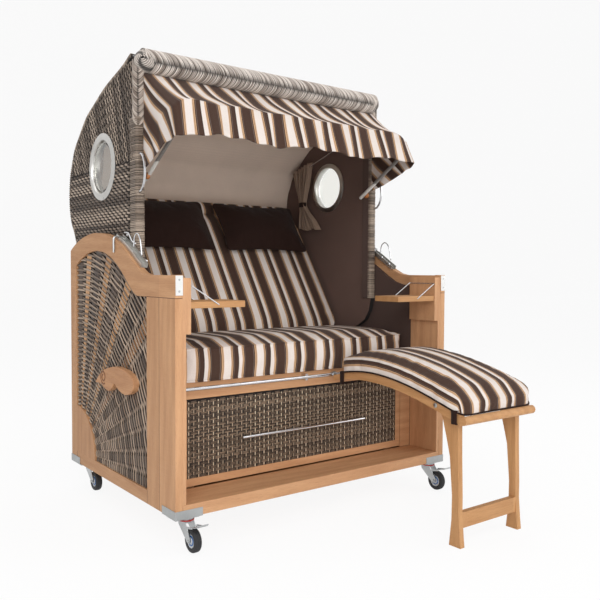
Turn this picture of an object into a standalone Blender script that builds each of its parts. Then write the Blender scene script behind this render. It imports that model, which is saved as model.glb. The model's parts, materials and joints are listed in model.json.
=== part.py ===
"""Hooded beach chair: a wooden base on casters with a drawer and a footrest, and a tilting woven hood.

Metres, +Z up, +X to the sitter's left-hand side of the picture's right, +Y to the back.
Every piece is drawn in the base's own frame: X from the middle plane, Y from the base's front face,
Z from the base's underside.  One empty moves that frame so that the origin lies on the floor
under the middle of the whole chair.
"""
import math

import bmesh
import bpy
import numpy as np
from mathutils import Vector
from mathutils.geometry import interpolate_bezier

# Overall sizes
BASE_WIDTH = 1.200
BASE_DEPTH = 0.896
ARM_HEIGHT = 0.749
CASTER_HEIGHT = 0.105
HOOD_INSET = 0.041
HOOD_WIDTH = BASE_WIDTH - 2 * HOOD_INSET
HOOD_DEPTH = 0.650
HOOD_TOP = 1.511

# Clearances and overruns
TOUCH = 0.0003
SLIDE_GAP = 0.002
OVERRUN = 0.010

# Side frames
BOARD = 0.025
ARM_LENGTH = 0.195
ARCH_CREST = (0.632, 0.901)
ARCH_REAR = 0.839
STILE_WIDTH = 0.200
REAR_STILE = 0.058
RAIL_HEIGHT = 0.045
ARM_RAIL = 0.070
ARM_RAIL_END = 0.270
INNER_CREST = (0.625, 0.835)
INNER_REAR = 0.780
CURVE_STEPS = 8

# Carved corners, woven side panels and carry handles
FAN_RADIUS = 0.185
FAN_STEPS = 12
WEAVE = 0.0165
SPOKE_ANGLE = math.radians(6.65)
SPOKE_START = math.radians(2.25)
SPOKE_HALF = math.radians(1.75)
SPOKE_RISE = 0.0022
SPOKE_MARGIN = 0.004
SPOKE_STEP = 0.002
CARRY_LENGTH = 0.336
CARRY_HEIGHT = 0.093
CARRY_THICKNESS = 0.024
CARRY_PLACE = (0.270, 0.334)
CARRY_SHARES = [
    (1.000, 0.170), (0.952, 0.344), (0.824, 0.667), (0.652, 0.882), (0.452, 1.000), (0.238, 0.968),
    (0.089, 0.860), (0.009, 0.677), (0.000, 0.462), (0.039, 0.247), (0.202, 0.054), (0.350, 0.140),
    (0.440, 0.290), (0.500, 0.330), (0.545, 0.150), (0.637, 0.000), (0.740, 0.060), (0.833, 0.215),
    (0.905, 0.170)]

# Cheeks, linings, floor and back panel
CHEEK = 0.0122
CHEEK_DEPTH = 0.150
CHEEK_DROP = 0.007
CHEEK_SETBACK = 0.001
LINING_DROP = 0.042
LINING_STEPS = 16
DECK = 0.040
FLOOR = 0.018
BACK_PANEL = 0.025
BACK_HEIGHT = 0.500

# Seat front, seat board and drawer
FRONT_THICKNESS = 0.022
SEAT_HEIGHT = 0.393
SEAT_RAIL = 0.056
DRAWER_POST = 0.093
DRAWER_OPENING = BASE_WIDTH - 2 * DRAWER_POST
SEAT_BOARD = 0.018
SEAT_BOARD_END = 0.600
DRAWER_SIDE_GAP = 0.002
DRAWER_FOOT_GAP = 0.0047
DRAWER_FRAME = 0.027
DRAWER_TOP_STRIP = 0.008
DRAWER_FRONT = 0.020
DRAWER_RECESS = 0.004
DRAWER_BACK_GAP = 0.1094
DRAWER_WALL = 0.012
DRAWER_HEIGHT = 0.280
RUNNER_WIDTH = 0.040
RUNNER_INSET = 0.1347
RUNNER_BACK_GAP = 0.0781
BAR_RADIUS = 0.005
BAR_SIDE_GAP = 0.227
BAR_LENGTH = DRAWER_OPENING - 2 * BAR_SIDE_GAP
BAR_STANDOFF = 0.031
BAR_HEIGHT = 0.190
BAR_POST_RADIUS = 0.004
BAR_POST_INSET = 0.030

# Footrest tube and its holders
TUBE_RADIUS = 0.006
TUBE_Y = 0.125
TUBE_Z = 0.375
FLANGE_RADIUS = 0.014
FLANGE_THICKNESS = 0.004
BRACKET_WIDTH = 0.012
BRACKET_HEIGHT = 0.024

# Sheet-metal corners
SHEET = 0.0015
CORNER_HEIGHT = 0.025
CORNER_FRONT = 0.095
CORNER_SIDE = 0.090
ARM_PLATE_DROP = 0.056
ARM_PLATE_TOP = 0.030

# Casters
CASTER_INSET = 0.052
CASTER_X = BASE_WIDTH / 2 - CASTER_INSET
CASTER_YS = (0.030, 0.820)
TRAIL = 0.045
WHEEL_RADIUS = 0.0375
WHEEL_WIDTH = 0.024
HUB_RADIUS = 0.022
HUB_RECESS = 0.004
BOSS_RADIUS = 0.009
AXLE_RADIUS = 0.004
AXLE_LENGTH = 0.040
PLATE_SIZE = 0.060
PLATE_THICKNESS = 0.0032
RACE_RADIUS = 0.024
RACE_HEIGHT = 0.013
FORK_INSIDE = 0.028
FORK_SHEET = 0.0025
FORK_LENGTH = 0.046
FORK_SHARES = [
    (0.50, 0.00), (0.44, -0.21), (-0.74, -0.91), (-0.98, -0.985), (-1.20, -0.89), (-1.24, -0.70),
    (-0.54, 0.00)]
PEDAL_HINGE = (-0.036, -0.030)
PEDAL_SHEET = 0.002
PEDAL_WIDTH = 0.038
PEDAL_REACH = 0.066
PEDAL_RISE = 0.019
PEDAL_START = 0.024
PEDAL_TOE = 0.006
ROUND_STEPS = 24
SMALL_STEPS = 12

# Side tables
TABLE_LENGTH = 0.199
TABLE_FRONT = 0.0053
TABLE_DEPTH = 0.1294
TABLE_THICKNESS = 0.021
TABLE_TOP = 0.668
TABLE_BOARD = (0.002, 0.140)
TABLE_BOARD_HEIGHTS = (0.568, 0.741)
TABLE_BOARD_THICKNESS = 0.0177
STAY_RADIUS = 0.002
STAY_TOP = 0.717
STAY_REACH = 0.097
STAY_DROP = 0.060
STAY_SIDE_GAP = 0.001

# Recline racks and levers
RACK_START = 0.270
RACK_END = 0.470
RACK_WIDTH = 0.025
RACK_OVERHANG = 0.0115
RACK_SHEET = 0.0025
RACK_FLANGE = 0.016
LEVER_RADIUS = 0.0035
LEVER_Y = 0.452
LEVER_RISE = 0.0115
LEVER_REACH = 0.0355
LEVER_DROP = 0.055
LEVER_BEND = 0.008

# Hood: one pivot on each side, a back and roof sheet, two sides and a plaited rim
HOOD_PIVOT = (0.620, 0.430)
HOOD_FRONT = 0.365
HOOD_FOOT = 0.520
HOOD_SHEET = 0.022
HOOD_SIDE = 0.024
ROW_PITCH = 0.0312
ROW_SINK = 0.003
ROW_SHARES = ((0.00, 1.0), (0.12, 0.0), (0.82, 0.0), (0.94, 1.0))
ROW_MARGIN = 0.030
HOOD_SHARES = [
    (0.069, 0.997), (0.175, 0.970), (0.317, 0.945), (0.434, 0.922), (0.574, 0.883), (0.703, 0.845),
    (0.820, 0.783), (0.902, 0.735), (0.955, 0.673), (0.988, 0.624), (1.000, 0.554), (0.992, 0.494),
    (0.962, 0.440), (0.915, 0.398), (0.878, 0.350), (0.860, 0.300), (0.855, 0.220), (0.854, 0.000)]
TAIL_RADIUS = 0.240
TAIL_TOP = 0.712
TAIL_SHARES = [
    (0.708, 0.708), (0.750, 0.375), (0.420, 0.040), (0.167, -0.083), (0.000, -0.133),
    (-0.146, -0.104), (-0.260, 0.060), (-0.480, 0.290), (-0.730, 0.400), (-0.900, 0.510),
    (-1.010, 0.680), (-1.050, 0.897)]
RIM_DEPTH = 0.050
RIM_WIDTH = 0.032
RIM_FOOT = 0.646
ROLL_RADIUS = 0.0375
ROLL_PLACE = (0.371, 1.4825)
PIVOT_RADIUS = 0.008
PIVOT_HEAD = 0.014
PIVOT_HEAD_THICKNESS = 0.006

# Portholes
PORT_PLACE = (0.665, 1.150)
PORT_RADIUS = 0.100
PORT_OUTER_RING = 0.125
PORT_INNER_RING = 0.112
PORT_SIGHT = 0.090
PORT_RING_THICKNESS = 0.008
PANE_THICKNESS = 0.006
PORT_STEPS = 32

# Grab handles and curtains
GRAB_INSET = 0.011
GRAB_RADIUS = 0.0045
GRAB_HEIGHTS = (1.165, 1.035)
GRAB_REACH = 0.046
ROD_RADIUS = 0.003
ROD_INSET = 0.049
ROD_X = HOOD_WIDTH / 2 - ROD_INSET
ROD_FRONT = (0.586, 1.314)
ROD_REAR = (0.890, 1.223)
CURTAIN_Y = 0.828
CURTAIN_TOP = 1.250
CURTAIN_FOOT = 0.965
CURTAIN_TIE = 1.081
CURTAIN_LEAN = 0.060
CURTAIN_HALF_TOP = 0.066
CURTAIN_HALF_TIE = 0.020
CURTAIN_HALF_FOOT = 0.068
CURTAIN_THICKNESS = 0.030
CURTAIN_TIE_THICKNESS = 0.024
CURTAIN_FOLD = 0.005
CURTAIN_FOLDS = 5
CURTAIN_RING = 30
CURTAIN_STEPS = 10

# Backrest, leaning back inside the hood, with its cushions
LEAN = math.radians(34)
LEAN_FOOT = (0.600, 0.450)
BACK_BOARD = 0.015
BACK_BOARD_START = 0.012
BACK_BOARD_GAP = 0.1032
BACK_CUSHION_GAP = 0.017
BACK_CUSHION_WIDTH = HOOD_WIDTH - 2 * (HOOD_SIDE + BACK_CUSHION_GAP)
BACK_CUSHION_START = 0.010
BACK_CUSHION_OVERHANG = 0.045
BACK_CUSHION_THICKNESS = 0.076
PILLOW_GAP = 0.060
PILLOW_EDGE = 0.058
PILLOW_WIDTH = (BACK_CUSHION_WIDTH - PILLOW_GAP) / 2 - PILLOW_EDGE
PILLOW_LENGTH = 0.270
PILLOW_THICKNESS = 0.090
PILLOW_DROP = 0.240
PILLOW_SINK = 0.0016
SEAT_CUSHION_GAP = 0.069
SEAT_CUSHION_WIDTH = BASE_WIDTH - 2 * SEAT_CUSHION_GAP
SEAT_CUSHION_START = 0.137
SEAT_CUSHION_LENGTH = 0.398
SEAT_CUSHION_THICKNESS = 0.124
CROWN = 0.012
DRAW_IN = 0.006

# Awning
BOW_RADIUS = 0.007
BOW_INSET = 0.054
BOW_X = HOOD_WIDTH / 2 - BOW_INSET
BOW_TIP = (0.405, 1.0812)
BOW_ELBOW = (0.165, 1.228)
BOW_BAR = (0.160, 1.312)
BOW_BEND = 0.020
BEND_STEPS = 4
KNOB_RADIUS = 0.011
KNOB_PLACE = (0.385, 1.0935)
CANVAS = 0.0025
CANVAS_CLEARANCE = 0.0012
CANVAS_TOP = 1.4427
CANVAS_INSET = 0.026
CANVAS_HALF = HOOD_WIDTH / 2 - CANVAS_INSET
CANVAS_KNOB = 1.112
WING_START = 0.015
VALANCE_DEPTH = 0.108
VALANCE_FORWARD = 0.045
WING_FLARE = 0.010
CANVAS_ROWS = 6
CANVAS_COLUMNS = 40
CANVAS_SAG = 0.010
CANVAS_FOLD = 0.004
WING_SHARE = 0.22

# Footrest
REST_INSET = 0.133
REST_WIDTH = 0.350
REST_X = (BASE_WIDTH / 2 - REST_INSET - REST_WIDTH, BASE_WIDTH / 2 - REST_INSET)
REST_BOARD = 0.020
REST_REAR = 0.1135
REST_FRONT = -0.500
REST_HEIGHTS = (0.364, 0.420, 0.375, 0.304)
REST_DEPTHS = (0.020, 0.030)
REST_STEPS = 10
END_BAR_RADIUS = 0.014
END_BAR_SINK = 0.004
END_BAR_OVERHANG = 0.001
PANEL_YS = (0.060, -0.330)
PANEL_THICKNESS = 0.008
HOOK_RADIUS = 0.011
HOOK_WIDTH = 0.016
HOOK_OPEN = math.radians(250)
HOOK_START = math.radians(-35)
HOOK_STEPS = 10
REST_BOLT = (-0.397, 0.338)
REST_BOLT_RADIUS = 0.007
REST_BOLT_THICKNESS = 0.003
PIN_RADIUS = 0.0045
LEG_THICKNESS = 0.020
LEG_HEIGHT = 0.455
LEG_WIDTH = 0.110
LEG_SHARES = [
    (0.000, 0.000), (0.036, 0.077), (0.091, 0.231), (0.091, 0.352), (0.127, 0.626), (0.141, 0.824),
    (0.145, 0.901), (0.318, 0.930), (0.591, 0.974), (0.845, 1.000), (0.927, 0.991), (0.955, 0.974),
    (0.918, 0.954), (0.800, 0.916), (0.727, 0.886), (0.564, 0.747), (0.436, 0.626), (0.336, 0.352),
    (0.345, 0.187), (0.391, 0.077), (0.427, 0.000)]
LEG_FRONT = -0.490
CROSS_HEIGHT = 0.050
CROSS_THICKNESS = 0.020
CROSS_PLACE = (-0.470, -0.021)
REST_CUSHION_SIDES = (0.009, 0.022)
REST_CUSHION_Y = (0.080, -0.500)
REST_CUSHION_THICKNESS = 0.064

# Places worked out from the sizes
INNER_FACE = BASE_WIDTH / 2 - BOARD
CARCASE_HALF = INNER_FACE - TOUCH
CHEEK_FACE = CARCASE_HALF - CHEEK
BETWEEN_HALF = CHEEK_FACE - TOUCH
HOOD_HALF = HOOD_WIDTH / 2
HOOD_INSIDE = HOOD_HALF - HOOD_SIDE
FRONT_FACE = CHEEK_DEPTH + TOUCH
BACK_FACE = BASE_DEPTH - TOUCH - BACK_PANEL
BOARD_FACE = BETWEEN_HALF - TABLE_BOARD_THICKNESS
TABLE_EDGE = BOARD_FACE - TOUCH
STAY_X = BOARD_FACE - TOUCH - STAY_RADIUS
END_BAR_Y = REST_FRONT - END_BAR_RADIUS + END_BAR_SINK
FRONT_END = END_BAR_Y - END_BAR_RADIUS
BACK_END = HOOD_FRONT + HOOD_DEPTH
MIDDLE_Y = (FRONT_END + BACK_END) / 2

for old in list(bpy.data.objects):
    bpy.data.objects.remove(old, do_unlink=True)

MODEL = bpy.data.collections.new("hooded_beach_chair")
GUIDES = bpy.data.collections.new("cutters")
bpy.context.scene.collection.children.link(MODEL)
bpy.context.scene.collection.children.link(GUIDES)
TOOLS = {}
ORIGINS = {}


def material(name, color, roughness, metallic=0.0):
    """Principled material with one colour."""
    made = bpy.data.materials.new(name)
    made.use_nodes = True
    shader = made.node_tree.nodes["Principled BSDF"]
    shader.inputs["Base Color"].default_value = (*color, 1.0)
    shader.inputs["Roughness"].default_value = roughness
    shader.inputs["Metallic"].default_value = metallic
    return made


TEAK = material("teak", (0.55, 0.31, 0.16), 0.55)
WICKER = material("wicker", (0.27, 0.22, 0.18), 0.60)
LINING = material("lining_cloth", (0.07, 0.05, 0.04), 0.85)
STRIPE = material("striped_cloth", (0.45, 0.38, 0.32), 0.85)
DARK_CLOTH = material("dark_cloth", (0.04, 0.025, 0.02), 0.90)
CURTAIN_CLOTH = material("curtain_cloth", (0.10, 0.07, 0.05), 0.85)
CHROME = material("chrome", (0.80, 0.80, 0.80), 0.15, 1.0)
ZINC = material("zinc_plate", (0.60, 0.60, 0.58), 0.35, 1.0)
GREY_TUBE = material("grey_tube", (0.12, 0.11, 0.10), 0.40, 0.6)
ALUMINIUM = material("aluminium", (0.66, 0.65, 0.62), 0.35, 1.0)
RUBBER = material("rubber", (0.02, 0.02, 0.02), 0.75)
PANE = material("pane", (0.85, 0.90, 0.90), 0.05)


def link(obj, look=None):
    """Put an object in the model's collection and give it its material."""
    MODEL.objects.link(obj)
    if look is not None:
        obj.data.materials.clear()
        obj.data.materials.append(look)
    return obj


def joint_empty(name, place, parent=None):
    """Empty on a joint's axis; the place is in the base's frame."""
    empty = bpy.data.objects.new(name, None)
    MODEL.objects.link(empty)
    ORIGINS[name] = Vector(place)
    if parent is not None:
        empty.parent = parent
        empty.location = ORIGINS[name] - ORIGINS[parent.name]
    return empty


def carry(parent, *pieces):
    """Hang pieces, and the tools that cut them, on a parent empty without moving them."""
    for piece in pieces:
        for obj in [piece, *TOOLS.get(piece.name, [])]:
            obj.parent = parent
            obj.location = obj.location - ORIGINS[parent.name]


def box(name, low, high, look):
    """Block between two corners."""
    mesh = bpy.data.meshes.new(name)
    made = bmesh.new()
    bmesh.ops.create_cube(made, size=1.0)
    size = Vector(high) - Vector(low)
    bmesh.ops.scale(made, vec=size, verts=made.verts)
    made.to_mesh(mesh)
    made.free()
    obj = bpy.data.objects.new(name, mesh)
    obj.location = (Vector(low) + Vector(high)) / 2
    return link(obj, look)


def cylinder(name, axis, centre, radius, length, look, steps=SMALL_STEPS):
    """Round bar of a radius and length, centred on a point, along X, Y or Z."""
    mesh = bpy.data.meshes.new(name)
    made = bmesh.new()
    bmesh.ops.create_cone(made, cap_ends=True, segments=steps, radius1=radius, radius2=radius, depth=length)
    made.to_mesh(mesh)
    made.free()
    mesh.shade_smooth()
    mesh.set_sharp_from_angle(angle=math.radians(40))
    obj = bpy.data.objects.new(name, mesh)
    obj.location = centre
    quarter = math.pi / 2
    obj.rotation_euler = {"X": (0, quarter, 0), "Y": (quarter, 0, 0), "Z": (0, 0, 0)}[axis]
    return link(obj, look)


def prism(name, axis, outlines, start, end, look):
    """Flat outline, with further outlines as holes, given its thickness along X, Y or Z.

    The outline is in (y, z) for X, in (x, z) for Y and in (x, y) for Z.
    """
    curve = bpy.data.curves.new(name, "CURVE")
    curve.dimensions = "2D"
    curve.fill_mode = "BOTH"
    curve.extrude = abs(end - start) / 2
    for outline in outlines:
        spline = curve.splines.new("POLY")
        spline.points.add(len(outline) - 1)
        for point, (a, b) in zip(spline.points, outline):
            point.co = (a, b, 0, 1)
        spline.use_cyclic_u = True
    obj = bpy.data.objects.new(name, curve)
    middle = (start + end) / 2
    quarter = math.pi / 2
    obj.rotation_euler = {"X": (quarter, 0, quarter), "Y": (quarter, 0, 0), "Z": (0, 0, 0)}[axis]
    obj.location = {"X": (middle, 0, 0), "Y": (0, middle, 0), "Z": (0, 0, middle)}[axis]
    return link(obj, look)


def tube(name, points, radius, look, resolution=2):
    """Round wire or tube along a list of points, with closed ends."""
    curve = bpy.data.curves.new(name, "CURVE")
    curve.dimensions = "3D"
    curve.bevel_depth = radius
    curve.bevel_resolution = resolution
    curve.use_fill_caps = True
    spline = curve.splines.new("POLY")
    spline.points.add(len(points) - 1)
    for point, place in zip(spline.points, points):
        point.co = (*place, 1)
    return link(bpy.data.objects.new(name, curve), look)


def turned(name, centre, profile, look, steps=ROUND_STEPS):
    """Closed (radius, height) profile turned round an axis along X; height runs along +X."""
    mesh = bpy.data.meshes.new(name)
    count = len(profile)
    edges = [(i, (i + 1) % count) for i in range(count)]
    mesh.from_pydata([(radius, 0, height) for radius, height in profile], edges, [])
    obj = bpy.data.objects.new(name, mesh)
    obj.location = centre
    obj.rotation_euler = (0, math.pi / 2, 0)
    screw = obj.modifiers.new("turn", "SCREW")
    screw.axis = "Z"
    screw.steps = steps
    screw.render_steps = steps
    screw.use_merge_vertices = True
    screw.merge_threshold = TOUCH / 10
    screw.use_normal_calculate = False
    screw.use_smooth_shade = True
    return link(obj, look)


def as_mesh(obj):
    """The object as a welded mesh object that can be cut or joined."""
    bpy.context.view_layer.update()
    name = obj.name
    depsgraph = bpy.context.evaluated_depsgraph_get()
    mesh = bpy.data.meshes.new_from_object(obj.evaluated_get(depsgraph))
    made = bmesh.new()
    made.from_mesh(mesh)
    bmesh.ops.remove_doubles(made, verts=made.verts, dist=TOUCH / 10)
    made.to_mesh(mesh)
    made.free()
    fresh = bpy.data.objects.new(name + "_mesh", mesh)
    fresh.matrix_world = obj.matrix_world.copy()
    bpy.data.objects.remove(obj, do_unlink=True)
    fresh.name = name
    MODEL.objects.link(fresh)
    return fresh


def combine(piece, tools, operation):
    """Boolean of a mesh piece with tool objects, which become hidden wire guides."""
    for tool in tools:
        change = piece.modifiers.new(tool.name, "BOOLEAN")
        change.operation = operation
        change.object = tool
        MODEL.objects.unlink(tool)
        GUIDES.objects.link(tool)
        tool.hide_render = True
        tool.display_type = "WIRE"
        TOOLS.setdefault(piece.name, []).append(tool)
    return piece


def pair(name, make):
    """The same piece on both sides; make gets the side, -1 or 1, and the piece's name."""
    return [make(side, name + "_" + where) for side, where in ((-1, "left"), (1, "right"))]


def span(side, near, far):
    """Sorted X limits of a piece between two distances from the middle plane."""
    return sorted((side * near, side * far))


def facing(side, profile):
    """Turned profile for the left or right side, whose heights run outwards from the middle plane."""
    return profile if side > 0 else [(radius, -height) for radius, height in reversed(profile)]


def bend(start, first, second, end, steps=CURVE_STEPS):
    """Cubic curve between two outline points, without its first point."""
    knots = [Vector((*point, 0)) for point in (start, first, second, end)]
    return [(p.x, p.y) for p in interpolate_bezier(*knots, steps + 1)][1:]


def smooth(points, steps):
    """Curve through a list of outline points, by cubic pieces with the neighbours' slopes."""
    places = [np.array(p) for p in points]
    places = [2 * places[0] - places[1], *places, 2 * places[-1] - places[-2]]
    made = [tuple(places[1])]
    for before, start, end, after in zip(places, places[1:], places[2:], places[3:]):
        made += bend(start, start + (end - before) / 6, end - (after - start) / 6, end, steps)
    return made


def offset(points, distance, closed=True):
    """Outline moved to its left by a distance, with mitred corners."""
    places = np.array(points)
    before = np.roll(places, 1, axis=0)
    after = np.roll(places, -1, axis=0)
    if not closed:
        before[0] = 2 * places[0] - places[1]
        after[-1] = 2 * places[-1] - places[-2]
    first = places - before
    second = after - places
    first = first / np.linalg.norm(first, axis=1)[:, None]
    second = second / np.linalg.norm(second, axis=1)[:, None]
    left = np.stack([-first[:, 1] - second[:, 1], first[:, 0] + second[:, 0]], axis=1)
    scale = 1 + np.sum(first * second, axis=1)
    return [tuple(p) for p in places + left * (distance / scale)[:, None]]


def arc(centre, radius, start, end, steps):
    """Points of a round stretch from one angle to another."""
    angles = np.linspace(start, end, steps + 1)
    return [(centre[0] + radius * math.cos(a), centre[1] + radius * math.sin(a)) for a in angles]


def scaled(shares, place, size):
    """Outline whose points are shares of a size, from a place."""
    return [(place[0] + a * size[0], place[1] + b * size[1]) for a, b in shares]


def leaning(along, out):
    """(y, z) of a point a distance up the backrest's board and out of its front."""
    return (LEAN_FOOT[0] + along * math.sin(LEAN) - out * math.cos(LEAN),
            LEAN_FOOT[1] + along * math.cos(LEAN) + out * math.sin(LEAN))


def round_corners(points, radius, steps=BEND_STEPS):
    """Path in space whose inner corners are rounded by short cubic bends."""
    places = [Vector(p) for p in points]
    made = [places[0]]
    for before, corner, after in zip(places, places[1:], places[2:]):
        into = corner + (before - corner).normalized() * radius
        out = corner + (after - corner).normalized() * radius
        pull = 0.55
        made += interpolate_bezier(into, into.lerp(corner, pull), out.lerp(corner, pull), out, steps + 1)
    return made + [places[-1]]


def cushion(name, size, look, cells=(14, 8), crown=CROWN, draw=DRAW_IN, shape=None):
    """Crowned pad: two grids that meet in a seam ring, with the sides drawn in between the corners.

    The pad lies in its own X, Y plane from X -width/2, Y 0 and Z 0; shape moves the finished points.
    """
    width, length, thickness = size
    columns, rows = cells
    u, v = np.meshgrid(np.linspace(-1, 1, columns + 1), np.linspace(-1, 1, rows + 1), indexing="ij")
    fill = (1 - u ** 4) * (1 - v ** 4)
    plan_x = u * (width / 2 - draw * (1 - v ** 2)) * (1 - draw / width)
    plan_y = length / 2 + v * (length / 2 - draw * (1 - u ** 2)) * (1 - draw / length)
    top = np.stack([plan_x, plan_y, thickness - crown * (1 - fill)], axis=-1)
    base = np.stack([plan_x, plan_y, crown / 2 * (1 - fill)], axis=-1)
    border = [(i, 0) for i in range(columns)] + [(columns, j) for j in range(rows)]
    border += [(i, rows) for i in range(columns, 0, -1)] + [(0, j) for j in range(rows, 0, -1)]
    middle = np.array([(top[i, j] + base[i, j]) / 2 for i, j in border])
    centre = np.array([0, length / 2, 0])
    away = np.where(np.abs(middle - centre) > 0, np.sign(middle - centre), 0)
    at_side = np.array([(abs(i * 2 - columns) == columns, abs(j * 2 - rows) == rows, False) for i, j in border])
    middle = middle + away * at_side * draw / 2
    points = np.concatenate([top.reshape(-1, 3), base.reshape(-1, 3), middle])
    if shape is not None:
        points = shape(points)
    grid = (columns + 1) * (rows + 1)

    def at(i, j):
        return i * (rows + 1) + j

    faces = []
    for i in range(columns):
        for j in range(rows):
            quad = (at(i, j), at(i + 1, j), at(i + 1, j + 1), at(i, j + 1))
            faces.append(quad)
            faces.append(tuple(grid + k for k in reversed(quad)))
    for k, (start, end) in enumerate(zip(border, border[1:] + border[:1])):
        low, high = 2 * grid + k, 2 * grid + (k + 1) % len(border)
        faces.append((low, high, at(*end), at(*start)))
        faces.append((grid + at(*start), grid + at(*end), high, low))
    mesh = bpy.data.meshes.new(name)
    mesh.from_pydata([tuple(p) for p in points], [], faces)
    mesh.shade_smooth()
    return link(bpy.data.objects.new(name, mesh), look)


def tilted(points, along, out, x=0.0):
    """Points of a pad laid on the backrest: its own Y goes up the board and its Z out of it."""
    y = LEAN_FOOT[0] + (along + points[:, 1]) * math.sin(LEAN) - (out + points[:, 2]) * math.cos(LEAN)
    z = LEAN_FOOT[1] + (along + points[:, 1]) * math.cos(LEAN) + (out + points[:, 2]) * math.sin(LEAN)
    return np.stack([points[:, 0] + x, y, z], axis=1)


# Outlines of the side frame, in (y, z)

def arch_line():
    """Top edge of a side frame: flat arm, S-shaped rise, crest and fall to the rear stile."""
    crest_y, crest_z = ARCH_CREST
    rise = crest_y - ARM_LENGTH
    fall = BASE_DEPTH - crest_y
    line = [(0, ARM_HEIGHT), (ARM_LENGTH, ARM_HEIGHT)]
    line += bend(line[-1], (ARM_LENGTH + rise * 0.23, ARM_HEIGHT), (crest_y - rise * 0.57, crest_z), ARCH_CREST)
    line += bend(ARCH_CREST, (crest_y + fall * 0.38, crest_z),
                 (BASE_DEPTH - fall * 0.23, ARCH_REAR + (crest_z - ARCH_REAR) * 0.56), (BASE_DEPTH, ARCH_REAR))
    return line


def opening_line():
    """Opening of a side frame, from its bottom front corner over the top to its bottom rear corner."""
    crest_y, crest_z = INNER_CREST
    arm_z = ARM_HEIGHT - ARM_RAIL
    rear_y = BASE_DEPTH - REAR_STILE
    rise = crest_y - ARM_RAIL_END
    fall = rear_y - crest_y
    line = [(STILE_WIDTH, RAIL_HEIGHT), (STILE_WIDTH, arm_z), (ARM_RAIL_END, arm_z)]
    line += bend(line[-1], (ARM_RAIL_END + rise * 0.17, arm_z), (crest_y - rise * 0.56, crest_z), INNER_CREST)
    line += bend(INNER_CREST, (crest_y + fall * 0.47, crest_z),
                 (rear_y - fall * 0.23, INNER_REAR + (crest_z - INNER_REAR) * 0.45), (rear_y, INNER_REAR))
    return line + arc((rear_y, RAIL_HEIGHT), FAN_RADIUS, math.pi / 2, math.pi, FAN_STEPS)


ARCH = arch_line()
OPENING = opening_line()


def arch_height(y):
    """Height of a side frame's top edge at a depth."""
    return float(np.interp(y, [p[0] for p in ARCH], [p[1] for p in ARCH]))


# Base

def side_frame(side, name):
    """Side frame with its carved quarter-disc corner, and the sheet cover over the end of the arm."""
    low = ARM_HEIGHT - ARM_PLATE_DROP
    high = ARM_HEIGHT + SHEET
    cover = [(0, low), (-SHEET, low), (-SHEET, high), (ARM_PLATE_TOP, high), (ARM_PLATE_TOP, ARM_HEIGHT)]
    outline = [(0, 0), *cover, *ARCH[1:], (BASE_DEPTH, 0)]
    return prism(name, "X", [outline, OPENING], *span(side, INNER_FACE, BASE_WIDTH / 2), TEAK)


def inside(outline, point):
    """Whether a point lies in an outline: a ray from it then crosses an odd number of edges."""
    y, z = point
    crossings = 0
    for (y1, z1), (y2, z2) in zip(outline, outline[1:] + outline[:1]):
        if (z1 > z) != (z2 > z) and y < y1 + (y2 - y1) * (z - z1) / (z2 - z1):
            crossings += 1
    return crossings % 2 == 1


def spoke_outlines():
    """Outlines of the sunburst's spokes, from the carved corner to the opening's edge.

    A spoke is left out behind the carry handle and ends short of the opening.
    """
    centre = (BASE_DEPTH - REAR_STILE, RAIL_HEIGHT)
    room = offset(OPENING, -SPOKE_MARGIN)
    low_y, low_z = (place - SPOKE_MARGIN for place in CARRY_PLACE)
    high_y = CARRY_PLACE[0] + CARRY_LENGTH + SPOKE_MARGIN
    high_z = CARRY_PLACE[1] + CARRY_HEIGHT + SPOKE_MARGIN

    def at(radius, angle):
        return (centre[0] - radius * math.sin(angle), centre[1] + radius * math.cos(angle))

    def is_free(radius, angle):
        points = [at(radius, angle + turn) for turn in (-SPOKE_HALF, 0, SPOKE_HALF)]
        return all(inside(room, p) and not (low_y < p[0] < high_y and low_z < p[1] < high_z) for p in points)

    outlines = []
    count = int((math.pi / 2 - SPOKE_START - SPOKE_HALF) / SPOKE_ANGLE) + 1
    for k in range(count):
        angle = SPOKE_START + k * SPOKE_ANGLE
        radii = np.arange(FAN_RADIUS + SPOKE_MARGIN, math.hypot(BASE_DEPTH, ARCH_CREST[1]), SPOKE_STEP)
        free = [is_free(radius, angle) for radius in radii] + [False]
        start = None
        for radius, is_open in zip([*radii, radii[-1]], free):
            if is_open and start is None:
                start = radius
            elif not is_open and start is not None:
                end = radius - SPOKE_STEP
                if end - start > FAN_RADIUS / 6:
                    outlines.append([at(start, angle - SPOKE_HALF), at(end, angle - SPOKE_HALF),
                                     at(end, angle + SPOKE_HALF), at(start, angle + SPOKE_HALF)])
                start = None
    return outlines


def side_weave(side, name):
    """Woven panel that fills the frame's opening, with the spokes of its sunburst raised on it."""
    face = INNER_FACE + TOUCH + WEAVE
    panel = as_mesh(prism(name, "X", [offset(OPENING, -TOUCH)], *span(side, INNER_FACE + TOUCH, face), WICKER))
    spokes = [as_mesh(prism("spoke", "X", [outline], *span(side, face - WEAVE / 2, face + SPOKE_RISE), WICKER))
              for outline in spoke_outlines()]
    return combine(panel, spokes, "UNION")


def carry_handle(side, name):
    """Crescent handle with a small scroll, on the woven panel."""
    outline = smooth(scaled(CARRY_SHARES, CARRY_PLACE, (CARRY_LENGTH, CARRY_HEIGHT)), 2)[:-1]
    near = INNER_FACE + 2 * TOUCH + WEAVE
    return prism(name, "X", [outline], *span(side, near, near + CARRY_THICKNESS), TEAK)


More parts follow.
